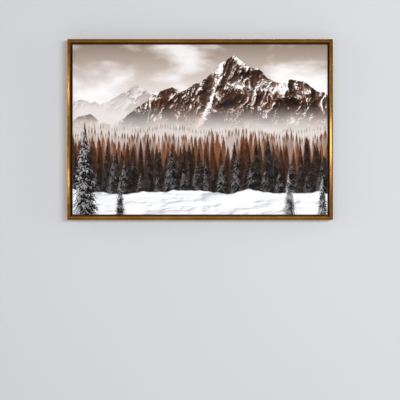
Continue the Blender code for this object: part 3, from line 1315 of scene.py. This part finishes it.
@dataclass
class CornerKeys:
    """Beech wedges that are tapped into the stretcher's inner corners to tighten the cloth."""

    tip_w: float = 0.006
    corner_r: float = 0.0007
    edge_r: float = 0.0003
    room: float = 0.0006

    def names(self) -> list[str]:
        """The keys' CAD nodes."""
        return sorted(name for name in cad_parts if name.startswith("key_"))

    def solid(self, node: str, name: str, room: float = 0.0) -> Object:
        """Makes a key, or the cutter for its slot.

        Args:
            node: The key's CAD node.
            name: The new piece's name.
            room: How much wider a slot for it is, on each side.

        Returns:
            The piece.
        """
        low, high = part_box(node)
        middle, half = (low + high) / 2, (high - low) / 2
        right, up = (1 if word in node else -1 for word in ("right", "top"))
        across = node.endswith("across")
        end, wide = (half.x, half.z) if across else (half.z, half.x)
        back, radii = wide + room * 0.3, () if room else (self.corner_r,)
        tip = (end + room, wide - self.tip_w - room)
        corners = [(end + room, back), (-end, back), (-end, -wide - room), tip]
        points = []
        for a, b in rounded([(*corner, *radii) for corner in corners], 3):
            x, z = (a, b) if across else (b, a)
            points.append(Vector((middle.x + right * x, middle.y - half.y - room, middle.z + up * z)))
        return drawn_prism(name, points, Vector((0.0, high.y - low.y + 2 * room, 0.0)))

    def slots_in(self, side: Side) -> list[Object]:
        """Makes the cutters for the slots of one bar: its keys lie square to it, one at each end.

        Args:
            side: The bar's side.

        Returns:
            The cutters.
        """
        lies = "across" if side.upright else "upright"
        nodes = [name for name in self.names() if side.label in name and name.endswith(lies)]
        return [self.solid(node, f"slot_{node}", self.room) for node in nodes]

    def build(self) -> None:
        """Makes and dresses the keys."""
        wood = {grain.name.lower(): SawnBeech(grain).material() for grain in Grain}
        for node in self.names():
            piece = self.solid(node, node.replace("key_", "wedge_"))
            soften(piece, self.edge_r)
            settle(piece, [wood[node.rpartition("_")[2]]], "beech", node)


@dataclass
class StretcherFrame(MitredFrame):
    """Four pine bars. A raised lip at the outer edge holds the cloth clear of the sloping face."""

    bar_w: float = 0.038
    lip_w: float = 0.006
    slope: float = 0.003
    lip_r: float = 0.0011
    inner_r: float = 0.0015
    front_y: float = 0.0
    back_y: float = 0.0
    keys: CornerKeys = field(default_factory=CornerKeys)

    def section(self) -> Outline:
        """The bar's section.

        Returns:
            Its (inward, y) points.
        """
        front, back, width = self.front_y, self.back_y, self.bar_w
        lip = [(0.0, back, self.lip_r), (0.0, front, self.lip_r), (self.lip_w, front, self.lip_r)]
        foot = (self.lip_w + self.slope, front + self.slope * 0.8)
        inner = [(width, front + self.slope, self.inner_r), (width, back, self.inner_r)]
        return rounded([*lip, foot, *inner], self.arc_steps)

    def build(self) -> None:
        """Makes and dresses the four bars, with slots for the keys."""
        across = PlanedPine(Grain.ACROSS, (0.0, 47.0, 12.0), ring_mm=2.8).material()
        upright = PlanedPine(Grain.UPRIGHT, (15.0, 39.0, 0.0), ring_mm=2.6).material()
        for side in Side:
            piece = self.length(f"stretcher_bar_{side.label}", side, self.section())
            cut_away(put_at(piece, self.turn(side)), self.keys.slots_in(side))
            wood = upright if side.upright else across
            settle(piece, [wood], "pine", f"bar_{side.label}", smooth_deg=self.smooth_deg)


Grid = list[list[tuple[Vector, Vector, Vector]]]  # columns of (place, cut, bake) points


@dataclass
class StretchedCanvas(Oblong):
    """The cloth: flat over the front, down the sides, and folded onto the bars' backs.

    It is one closed thin sheet, laid out from its flat cut, whose corners are folded in. The cut
    map holds each place on that flat cloth, in metres from its middle.
    """

    CUT_MAP = "cut"
    BAKE_MAP = "OFBake"
    SHEARS = ((0.0005, 61.0, 1.0), (0.0003, 173.0, 2.3))  # the cut's waves: height, pace, offset

    front_y: float
    back_y: float
    thickness: float = 0.0006
    return_w: float = 0.028
    return_steps: int = 12
    turn_r: float = 0.0014
    corner_r: float = 0.0019
    turn_steps: int = 5
    end_gaps: tuple[float, ...] = (0.0, 0.0004, 0.0008, 0.0013, 0.0022, 0.004)
    cell: float = 0.0127
    covered: float = 0.0158  # how much of the return the frame's ledge covers
    staple_inset: float = 0.0215
    staple_pitch: float = 0.047
    staple_margin: float = 0.016  # from the end of a return to its first staple
    scallop: float = 0.0006
    weld: float = 0.00002
    fold_l: float = 0.014
    fold_t: float = 0.0009  # two thicknesses of cloth, pressed down
    fold_tip: tuple[float, float] = (0.0006, 0.0012)  # the radii of its two free corners
    fold_round: float = 0.00028
    fold_insets: tuple[float, float] = (0.0006, 0.0002)  # from the ledge and from the cut edge
    fold_lift: float = 0.0001
    spare: float = 0.018  # how far beyond the print the folded corners were cut from
    bake_left: float = 0.01  # the bake map: where the front's faces start, and how they lie
    bake_front: tuple[float, float] = (0.3367, 0.98)  # low edge and width
    bake_back: tuple[float, float] = (0.005, 0.49)
    bake_sides: tuple[float, float, float] = (0.51, 0.005, 0.48)  # left, low edge and width
    bake_band: float = 0.0822
    bake_rim: float = 0.002

    @property
    def half(self) -> tuple[float, float]:
        """Half the picture's width and height."""
        return self.width / 2, self.height / 2

    @property
    def turned_in(self) -> float:
        """The cloth from the picture's edge to its cut edge: down the side and onto the back."""
        return self.back_y - self.front_y + self.return_w

    def shares(self, side: Side) -> list[float]:
        """Where the columns of a side stand: even, and closer near the corners.

        Args:
            side: The side.

        Returns:
            Their places, from -1 to 1.
        """
        flat_half = self.half_length(side) - self.turn_r
        inner = flat_half - self.end_gaps[-1]
        count = max(2, round(2 * inner / self.cell))
        even = [(2 * i / count - 1) * inner / flat_half for i in range(1, count)]
        ends = [(flat_half - gap) / flat_half for gap in self.end_gaps]
        return [-share for share in ends] + even + ends[::-1]

    def rows(self, inside: bool) -> list[tuple[float, float, float]]:
        """The cloth's section from the front's edge to the cut edge.

        Args:
            inside: True for the face that lies on the bars.

        Returns:
            (inset from the picture's edge, y, way along the cloth past that edge) of each row.
        """
        sunk, turn = self.thickness if inside else 0.0, self.turn_r
        quarter, deep = turn * math.pi / 2, self.back_y - self.front_y - 2 * turn
        fold = []
        for i in range(self.turn_steps + 1):
            angle = math.pi / 2 * i / self.turn_steps
            fold.append(((turn - sunk) * math.sin(angle), (turn - sunk) * math.cos(angle), turn * angle))
        found = [(turn - sine, self.front_y + turn - cosine, way - turn) for sine, cosine, way in fold]
        for down in (deep * share for share in (0.25, 0.5, 0.75)):
            found.append((sunk, self.front_y + turn + down, quarter - turn + down))
        start = quarter - turn + deep
        found += [(turn - cosine, self.back_y - turn + sine, start + way) for sine, cosine, way in fold]
        for i in range(1, self.return_steps + 1):
            over = (self.return_w - turn) * i / self.return_steps
            found.append((turn + over, self.back_y - sunk, start + quarter + over))
        return found

    def staple_places(self, side: Side) -> list[float]:
        """Where the staples of a side stand.

        Args:
            side: The side.

        Returns:
            Their places, from the middle of that side.
        """
        reach = self.half_length(side) - self.return_w - self.staple_margin
        count = round(2 * reach / self.staple_pitch)
        return [reach * (2 * i / count - 1) for i in range(count + 1)]

    def lift(self, side: Side, along: float, inset: float) -> float:
        """How far the return stands off the bar. It is scalloped between the staples.

        Args:
            side: The side.
            along: The place from the side's middle.
            inset: The distance from the picture's edge.

        Returns:
            The lift towards the wall.
        """
        free = min(1.0, max(0.0, (inset - self.covered) / (self.return_w - self.covered)))
        off = min(abs(along - staple) for staple in self.staple_places(side))
        wave = 0.5 - 0.5 * math.cos(min(1.0, 2 * off / self.staple_pitch) * math.pi)
        return self.scallop * free**1.5 * wave

    def cut_wave(self, along: float, seed: float) -> float:
        """How the shears wandered along the cut edge."""
        return sum(high * math.sin(along * pace + offset * seed) for high, pace, offset in self.SHEARS)

    def rounded_corner(self, x: float, z: float) -> tuple[float, float]:
        """Draws a place near a square corner in onto the rounded one.

        Args:
            x: Its place across, from the picture's middle.
            z: Its place up, from the picture's middle.

        Returns:
            The place's X and Z after that.
        """
        edge_x, edge_z = (half - self.corner_r for half in self.half)
        over_x, over_z = abs(x) - edge_x, abs(z) - edge_z
        if over_x <= 0 or over_z <= 0:
            return x, z
        pull = max(over_x, over_z) / math.hypot(over_x, over_z)
        return math.copysign(edge_x + over_x * pull, x), math.copysign(edge_z + over_z * pull, z)

    def front_grid(self, inside: bool) -> Grid:
        """Lays out one face of the front.

        Args:
            inside: True for the face that lies on the bars.

        Returns:
            Its points. The bake maps of the two faces fill the upper and the lower left part.
        """
        low, wide = self.bake_back if inside else self.bake_front
        scale = wide / self.width
        y = self.front_y + (self.thickness if inside else 0.0)
        grid = []
        for x in [share * (self.half[0] - self.turn_r) for share in self.shares(Side.TOP)]:
            grid.append([])
            for z in [share * (self.half[1] - self.turn_r) for share in self.shares(Side.LEFT)]:
                a, b = self.rounded_corner(x, z)
                across, over = (x + self.half[0]) * scale, (z + self.half[1]) * scale
                bake = Vector((self.bake_left + across, low + over))
                grid[-1].append((self.centre + Vector((a, y, b)), Vector((x, z)), bake))
        return grid

    def side_grid(self, side: Side, band: int, inside: bool) -> Grid:
        """Lays out one face of a side's turned-down cloth.

        Args:
            side: The side.
            band: Its band on the bake map, from below.
            inside: True for the face that lies on the bars.

        Returns:
            Its points, from the front to the cut edge.
        """
        half, reach = self.half_length(side), self.reach(side)
        left, low, wide = self.bake_sides
        scale = wide / self.width
        grid = []
        for share in self.shares(side):
            grid.append([])
            for inset, y, past in self.rows(inside):
                lying = max(0.0, (inset - self.turn_r) / (self.return_w - self.turn_r))
                along = share * (half - inset)
                inset += self.cut_wave(along, side.value) * lying**4 * (1 - share**8)
                y += self.lift(side, along, inset)
                spot = side.outward * (reach - inset) + side.along * along
                x, z = self.rounded_corner(spot.x, spot.z)
                flat = side.outward * (reach + past) + side.along * along
                far = (past + self.turn_r) * scale
                if inside:
                    far = 2 * (self.turned_in + self.turn_r) * scale + self.bake_rim - far
                bake = Vector((left + (along + half) * scale, low + band * self.bake_band + far))
                grid[-1].append((self.centre + Vector((x, y, z)), Vector((flat.x, flat.z)), bake))
        return grid

    def build(self) -> None:
        """Makes and dresses the cloth."""
        grids = [(self.front_grid(inside), inside) for inside in (False, True)]
        for band, side in enumerate((Side.TOP, Side.BOTTOM, Side.LEFT, Side.RIGHT)):
            outer, inner = (self.side_grid(side, band, inside) for inside in (False, True))
            rim = [[outside[-1], inside[-1]] for outside, inside in zip(outer, inner)]
            grids += [(outer, False), (inner, True), (rim, False)]
        shape = bmesh.new()
        maps = [shape.loops.layers.uv.new(name) for name in (self.CUT_MAP, self.BAKE_MAP)]
        for grid, inside in grids:
            self.patch(shape, maps, grid, inside)
        bmesh.ops.remove_doubles(shape, verts=shape.verts, dist=self.weld)
        mesh = bpy.data.meshes.new("stretched_canvas")
        shape.to_mesh(mesh)
        shape.free()
        piece = bpy.data.objects.new("stretched_canvas", mesh)
        bpy.context.scene.collection.objects.link(piece)
        printed = PrintedCanvas(half=self.half, turn_mm=self.turn_r / MM).material()
        settle(piece, [printed, RawCotton().material()], "canvas_cloth", "canvas")
        folds = self.corner_folds(printed)

    @staticmethod
    def patch(shape: bmesh.types.BMesh, maps: Sequence, grid: Grid, inside: bool) -> None:
        """Adds a grid of points as faces.

        Args:
            shape: The mesh to add to.
            maps: Its cut map and its bake map.
            grid: The points.
            inside: True turns the faces round and gives them the second material.
        """
        verts = [[shape.verts.new(place) for place, _, _ in column] for column in grid]
        for i in range(len(grid) - 1):
            for j in range(len(grid[0]) - 1):
                ring = [(i, j), (i + 1, j), (i + 1, j + 1), (i, j + 1)]
                if inside:
                    ring.reverse()
                face = shape.faces.new([verts[a][b] for a, b in ring])
                face.material_index = int(inside)
                for loop, (a, b) in zip(face.loops, ring):
                    for layer, spot in zip(maps, grid[a][b][1:]):
                        loop[layer].uv = spot

    def corner_folds(self, cloth: Material) -> Object:
        """The spare cloth of the corners, folded slantwise onto the top and bottom returns.

        Args:
            cloth: The cloth's material.

        Returns:
            The four folds, as one piece.
        """
        near, far = self.covered + self.fold_insets[0], self.return_w - self.fold_insets[1]
        tip = [(far, far, self.fold_tip[0]), (far + self.fold_l, far, self.fold_tip[1])]
        outline = rounded([(near, near), *tip, (near + self.fold_l, near)], 3)
        made = []
        for right, up in CORNERS:
            points = []
            for a, b in outline:
                x, z = right * (self.half[0] - a), up * (self.half[1] - b)
                points.append(self.centre + Vector((x, self.back_y + self.fold_lift, z)))
            made.append(drawn_prism("fold", points, Vector((0.0, self.fold_t, 0.0))))
        piece = joined("corner_folds", made)
        soften(piece, self.fold_round, 3)
        cut = piece.data.uv_layers.new(name=self.CUT_MAP)
        beyond = self.turned_in + self.spare
        for loop, spot in zip(piece.data.loops, cut.data):
            place = piece.data.vertices[loop.vertex_index].co - self.centre
            spot.uv = (place.x + math.copysign(beyond, place.x), place.z + math.copysign(beyond, place.z))
        return settle(piece, [cloth], "canvas_cloth")


@dataclass
class Staples:
    """The staples that hold the cloth, in a row along the back of each bar."""

    cloth: StretchedCanvas
    crown_l: float = 0.0100
    wire_w: float = 0.0012
    wire_t: float = 0.0006
    sunk: float = 0.00012
    leg: float = 0.0022
    bend_r: tuple[float, float] = (0.0007, 0.0003)  # outside and inside
    edge_r: float = 0.00015
    wobble_deg: float = 7.0
    stray: float = 0.0006
    fold_place: tuple[float, float] = (0.030, 0.022)  # of a corner fold's staple, from the corner

    def one(self) -> Object:
        """Makes one staple.

        Returns:
            The staple, with its crown's underside at Y = 0 and its legs along -Y.
        """
        half, wire, foot = self.crown_l / 2, self.wire_t, -self.leg
        within, (wide_r, tight_r) = half - wire, self.bend_r
        outer = [(-half, foot), (-half, wire, wide_r), (half, wire, wide_r), (half, foot)]
        inner = [(within, foot), (within, 0.0, tight_r), (-within, 0.0, tight_r), (-within, foot)]
        points = [Vector((a, b, -self.wire_w / 2)) for a, b in rounded([*outer, *inner], 3)]
        piece = drawn_prism("staple", points, Vector((0.0, 0.0, self.wire_w)))
        soften(piece, self.edge_r, 1, angle_deg=60.0)
        return piece

    def build(self) -> None:
        """Drives a row of staples into each side, and joins them."""
        dice = random.Random(11)
        cloth, wobble, places = self.cloth, self.wobble_deg, []
        for side in Side:
            out = cloth.reach(side) - cloth.staple_inset
            for along in cloth.staple_places(side):
                spot = side.outward * (out + dice.uniform(-self.stray, self.stray)) + side.along * along
                turn = side.value + math.radians(dice.uniform(-wobble, wobble))
                places.append((spot + Vector((0.0, cloth.back_y - self.sunk, 0.0)), turn))
        for right, up in CORNERS:
            x, z = (half - inset for half, inset in zip(cloth.half, self.fold_place))
            spot = Vector((right * x, cloth.back_y + cloth.fold_t - self.sunk, up * z))
            slant = -45.0 * right * up
            places.append((spot, math.radians(slant + dice.uniform(-wobble, wobble))))
        model = self.one()
        made = [copy_at(model, "staple_copy", cloth.centre + spot, turn) for spot, turn in places]
        bpy.data.objects.remove(model, do_unlink=True)
        settle(joined("staples", made), [ZincPlate(name="staple_wire").material()], "zinc_plated_steel")


@dataclass
class Screws:
    """The pan-head wood screws that hold the canvas in the frame."""

    back_y: float
    head_t: float = 0.0017
    head_r: float = 0.0036
    top_r: float = 0.0021
    dome_r: float = 0.0012
    rim_share: float = 0.42  # how high the rim is on the head
    rim_r: float = 0.0006
    seat_r: float = 0.0001
    shank_r: float = 0.0015
    point_l: float = 0.0034
    slot_w: float = 0.0008
    slot_l: float = 0.0036
    slot_deep: float = 0.0012
    slot_taper: float = 0.45

    def one(self) -> Object:
        """Makes one screw, with a cross recess.

        Returns:
            The screw, with its head's seat at Y = 0, pointing along -Y.
        """
        low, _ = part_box("screw_top_1")
        tip = low.y - self.back_y
        top = [(0.0, self.head_t), (self.top_r, self.head_t, self.dome_r)]
        rim = [(self.head_r, self.head_t * self.rim_share, self.rim_r)]
        rim.append((self.head_r - self.seat_r, 0.0, self.seat_r))
        shank = [(self.shank_r, 0.0), (self.shank_r, tip + self.point_l), (0.0, tip)]
        piece = turned("pan_screw", rounded([*top, *rim, *shank]))
        blades, at_top = [], Matrix.Translation((0.0, self.head_t, 0.0))
        size = Matrix.Diagonal((self.slot_l, 2 * self.slot_deep, self.slot_w, 1.0))
        for turn in (0.0, math.pi / 2):
            bpy.ops.object.select_all(action="DESELECT")
            bpy.ops.mesh.primitive_cube_add(size=1.0)
            blade = put_at(bpy.context.object, at_top @ Matrix.Rotation(turn, 4, "Y") @ size)
            with edit_mode(blade):
                pick(blade, "faces", lambda face: face.normal.y < -0.9)
                bpy.ops.transform.resize(value=(self.slot_taper, 1.0, self.slot_taper))
            blades.append(blade)
        cut_away(piece, blades)
        return piece

    def build(self) -> None:
        """Drives a screw at each CAD one, each stopped at its own angle."""
        dice = random.Random(5)
        model, steel = self.one(), ZincPlate().material()
        for node in sorted(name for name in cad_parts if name.startswith("screw_")):
            low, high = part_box(node)
            middle = (low + high) / 2
            seat = Vector((middle.x, high.y - self.head_t, middle.z))
            piece = copy_at(model, f"pan_{node}", seat, dice.uniform(0.0, math.pi))
            settle(piece, [steel], "zinc_plated_steel", node)
        bpy.data.objects.remove(model, do_unlink=True)


@dataclass
class Hanger:
    """A pressed strip with a toothed lower edge, whose middle stands off the rail, and its two nails."""

    teeth: int = 9
    pitch: float = 0.003
    deep: float = 0.0015
    bend: float = 0.0022
    thick: float = 0.0008
    raised: float = 0.0008
    tooth_r: float = 0.00018
    foot_r: float = 0.0012
    top_r: float = 0.0018
    edge_r: float = 0.00012
    crease: float = 0.00001
    smooth_deg: float = 25.0
    nail_r: float = 0.0008
    nail_head: float = 0.0005
    nail_crown: float = 0.0002
    nail_crown_r: float = 0.0004
    nail_point: float = 0.0016

    def strip(self) -> Object:
        """Makes the toothed strip.

        Returns:
            The strip, in its place.
        """
        low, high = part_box("hanger")
        toothed = self.teeth * self.pitch / 2
        creases = (-toothed - self.bend, -toothed - self.crease, toothed + self.crease, toothed + self.bend)
        corners: list[tuple[float, ...]] = [(low.x, low.z, self.foot_r)]
        for left in (i * self.pitch - toothed for i in range(self.teeth)):
            corners.append((left, low.z, self.tooth_r))
            corners.append((left + self.pitch / 2, low.z + self.deep, self.tooth_r))
        corners += [(toothed, low.z, self.tooth_r), (high.x, low.z, self.foot_r)]
        corners += [(high.x, high.z, self.top_r), (low.x, high.z, self.top_r)]
        piece = drawn_line("sawtooth_hanger", [Vector((a, low.y, b)) for a, b in rounded(corners, 3)])
        with edit_mode(piece):
            pick_all()
            bpy.ops.mesh.edge_face_add()
            for x in creases:
                pick_all()
                bpy.ops.mesh.bisect(plane_co=(x, 0.0, 0.0), plane_no=(1.0, 0.0, 0.0))
            pick(piece, "verts", lambda vert: abs(vert.co.x) < toothed + 2 * self.crease)
            bpy.ops.transform.translate(value=(0.0, self.raised, 0.0))
            pick_all()
            bpy.ops.mesh.extrude_region_move(TRANSFORM_OT_translate={"value": (0.0, self.thick, 0.0)})
            turn_outwards()
        soften(piece, self.edge_r, 2, angle_deg=60.0)
        return piece

    def nail(self, node: str) -> Object:
        """Makes one nail.

        Args:
            node: Its CAD node.

        Returns:
            The nail, in its place.
        """
        low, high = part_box(node)
        reach, under = (high.x - low.x) / 2, high.y - self.nail_head
        crown = (reach, high.y - self.nail_crown, self.nail_crown_r)
        head = [(0.0, high.y), crown, (reach, under)]
        shank = [(self.nail_r, under), (self.nail_r, low.y + self.nail_point), (0.0, low.y)]
        return turned(f"pin_{node}", rounded([*head, *shank]), (low + high) / 2, 32)

    def build(self) -> None:
        """Makes and dresses the strip and its nails."""
        steel = ZincPlate(name="hanger_zinc").material()
        settle(self.strip(), [steel], "zinc_plated_steel", "hanger", smooth_deg=self.smooth_deg)
        for node in ("hanger_nail_left", "hanger_nail_right"):
            settle(self.nail(node), [steel], "zinc_plated_steel", node)


@dataclass
class Bumpers:
    """Two round rubber feet with a moulded rim."""

    taper: float = 0.0002
    edge_r: float = 0.0011
    rim: float = 0.0007
    rim_r: float = 0.0003

    def build(self) -> None:
        """Makes and dresses the feet."""
        rubber = BlackRubber().material()
        for node in ("bumper_left", "bumper_right"):
            low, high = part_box(node)
            reach = (high.x - low.x) / 2
            face = [(0.0, high.y), (reach - self.taper, high.y, self.edge_r)]
            foot = [(reach, low.y + self.rim, self.rim_r), (reach, low.y), (0.0, low.y)]
            piece = turned(f"wall_{node}", rounded([*face, *foot], 6), (low + high) / 2)
            settle(piece, [rubber], "rubber", node)


# ---------------------------------------------------------------------------------------------
# Studio


@dataclass(frozen=True)
class SoftBox:
    """An area light. If it is only on one piece, then that piece mirrors it and nothing matt is lit."""

    name: str
    place: Vector
    aim: Vector
    size: tuple[float, float]
    watts: float
    colour: str = "#FFFFFF"
    in_gloss: bool = True
    only_on: str = ""

    def set_up(self) -> None:
        """Puts the light in the scene."""
        light = bpy.data.lights.new(self.name, "AREA")
        light.shape = "RECTANGLE"
        light.size, light.size_y = self.size
        light.energy = self.watts
        light.color = linear(self.colour)[:3]
        lamp = bpy.data.objects.new(self.name, light)
        lamp.location = self.place
        lamp.rotation_euler = (self.aim - self.place).to_track_quat("-Z", "Y").to_euler()
        lamp.visible_camera = False
        lamp.visible_glossy = self.in_gloss
        lamp.visible_diffuse = not self.only_on
        if self.only_on:
            lit = bpy.data.collections.new(f"lit_by_{self.name}")
            lit.objects.link(bpy.data.objects[self.only_on])
            lamp.light_linking.receiver_collection = lit
        bpy.context.scene.collection.objects.link(lamp)


@dataclass
class Studio:
    """The camera, the wall, the floor and the lights."""

    centre: Vector
    front_y: float
    camera_drop: float = 0.1683  # how far the view's middle is below the picture's
    camera_distance: float = 2.651
    lens_mm: float = 100.0
    wall_half: float = 0.9
    wall_top: float = 0.6
    floor_z: float = -1.3
    floor_half: float = 6.0
    world_tone: str = "#FFF3E6"
    world_strength: float = 0.23
    rail_x: float = 0.3138
    glint_near: float = 0.42  # how far the glints' strips stand off the frame
    glint_share: float = 1.25  # their width, as a share of that
    glint_tone: str = "#E4F2FF"

    def camera(self) -> None:
        """A level camera, square to the wall and below the picture's middle."""
        data = bpy.data.cameras.new("camera")
        data.lens = self.lens_mm
        camera = bpy.data.objects.new("camera", data)
        camera.location = (0.0, self.front_y - self.camera_distance, self.centre.z - self.camera_drop)
        camera.rotation_euler = (math.pi / 2, 0.0, 0.0)
        bpy.context.scene.collection.objects.link(camera)
        bpy.context.scene.camera = camera

    def sheet(self, name: str, matrix: Matrix, finish: Finish, hidden_from: Sequence[str]) -> None:
        """Makes one flat sheet of the room.

        Args:
            name: Its name.
            matrix: What takes a square metre on the ground to its place.
            finish: Its finish.
            hidden_from: The kinds of rays that pass through it.
        """
        bpy.ops.object.select_all(action="DESELECT")
        bpy.ops.mesh.primitive_plane_add(size=1.0)
        sheet = put_at(bpy.context.object, matrix)
        sheet.name = sheet.data.name = name
        for ray in hidden_from:
            setattr(sheet, f"visible_{ray}", False)
        sheet.data.materials.append(finish.material())

    def room(self) -> None:
        """The wall, which only the camera sees, and the floor."""
        tall, wide = self.wall_top - self.floor_z, 2 * self.floor_half
        wall = Matrix.Translation((0.0, 0.0, self.floor_z + tall / 2)) @ Matrix.Rotation(math.pi / 2, 4, "X")
        wall = wall @ Matrix.Diagonal((2 * self.wall_half, tall, 1.0, 1.0))
        self.sheet("wall", wall, MattPlaster(), ("diffuse", "glossy", "transmission", "shadow"))
        floor = Matrix.Translation((0.0, 0.0, self.floor_z)) @ Matrix.Diagonal((wide, wide, 1.0, 1.0))
        self.sheet("floor", floor, PaleFloor(), ("glossy",))

    def world(self) -> None:
        """An even, slightly warm surrounding."""
        world = bpy.data.worlds.new("studio")
        world.use_nodes = True
        world.node_tree.nodes.clear()
        graph = Graph(world.node_tree)
        graph.add("OutputWorld", graph.add("Background", self.world_tone, self.world_strength))
        bpy.context.scene.world = world
        bpy.context.scene.view_settings.view_transform = "Standard"

    def glint(self, side: Side, azimuth_deg: float, spot_z: float, height: float, watts: float) -> None:
        """Sets up a strip light that only one upright length mirrors, as if flagged off the rest.

        Args:
            side: The length's side.
            azimuth_deg: How far outward the strip stands, seen from the length.
            spot_z: The height at which the camera sees it mirrored.
            height: The strip's height.
            watts: Its power.
        """
        near, azimuth = self.glint_near, side.outward.x * math.radians(azimuth_deg)
        rail = Vector((side.outward.x * self.rail_x, self.front_y, spot_z))
        rise = (spot_z - self.centre.z + self.camera_drop) * near / self.camera_distance
        place = rail + Vector((math.sin(azimuth) * near, -math.cos(azimuth) * near, rise))
        name, mirror = f"glint_{side.label}_{abs(round(spot_z / MM))}", f"moulding_{side.label}"
        size = (self.glint_share * near, height)
        SoftBox(name, place, rail, size, watts, self.glint_tone, only_on=mirror).set_up()

    def lights(self) -> None:
        """A warm key from the upper right, soft fills, and lights that single lengths mirror.

        Their places are measured from the picture's middle, where they aim.
        """
        boxes = (
            ("key", (1.02, -2.8, 0.2), (1.27, 0.5), 48.5, "#FFFFFF", False),
            ("front_fill", (-0.4, -3.6, 0.05), (3.0, 0.6), 38.0, "#EAF3FF", False),
            ("left_side", (-2.6, -0.7, 0.2), (0.8, 1.6), 17.0),
            ("right_side", (2.6, -0.7, 0.2), (0.8, 1.6), 17.0, "#FFFFFF", False),
            ("window", (-2.1, -2.35, 0.0), (0.9, 2.5), 9.0, "#FFFFFF", True, "moulding_right"),
            ("overhead", (0.0, -2.0, 1.7), (3.0, 0.5), 6.5, "#FFE0C0", True, "moulding_bottom"),
            ("table_glow", (0.0, -1.8, -1.3), (3.0, 0.5), 5.0, "#FFDDB5", True, "moulding_top"),
            ("back_fill", (0.9, 2.4, 1.1), (1.6, 1.6), 60.0),
            ("back_rim", (-1.8, 1.6, 0.3), (0.7, 1.4), 22.0, "#FFF1E2"),
        )
        for name, place, *rest in boxes:
            SoftBox(name, self.centre + Vector(place), self.centre, *rest).set_up()
        self.glint(Side.LEFT, 12.0, -0.106, 0.03, 0.22)
        self.glint(Side.LEFT, 12.0, -0.312, 0.045, 0.24)
        self.glint(Side.RIGHT, -14.0, -0.226, 0.12, 0.6)


def main() -> None:
    """Builds the picture, dresses it and sets up the studio."""
    logging.basicConfig(level=logging.INFO, format="%(name)s: %(message)s")
    top_low, top_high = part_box("rail_top")
    bottom_low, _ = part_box("rail_bottom")
    centre = Vector((0.0, 0.0, (top_high.z + bottom_low.z) / 2))
    faces = {"front_y": top_low.y, "back_y": top_high.y, "ledge_reach": top_high.z - top_low.z}
    moulding = FloaterFrame(top_high.x - top_low.x, top_high.z - bottom_low.z, centre, **faces)
    moulding.build()
    moulding.v_nails()

    low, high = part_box("bar_top")
    bottom_low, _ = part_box("bar_bottom")
    faces = {"front_y": low.y, "back_y": high.y, "bar_w": high.z - low.z}
    bars = StretcherFrame(high.x - low.x, high.z - bottom_low.z, centre, **faces)
    bars.build()
    bars.keys.build()

    low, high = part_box("canvas")
    cloth = StretchedCanvas(high.x - low.x, high.z - low.z, centre, low.y, high.y)
    cloth.build()
    Staples(cloth).build()
    Screws(top_high.y).build()
    Hanger().build()
    Bumpers().build()

    studio = Studio(centre, top_low.y)
    studio.camera()
    studio.room()
    studio.world()
    studio.lights()


if __name__ == "__main__":
    main()
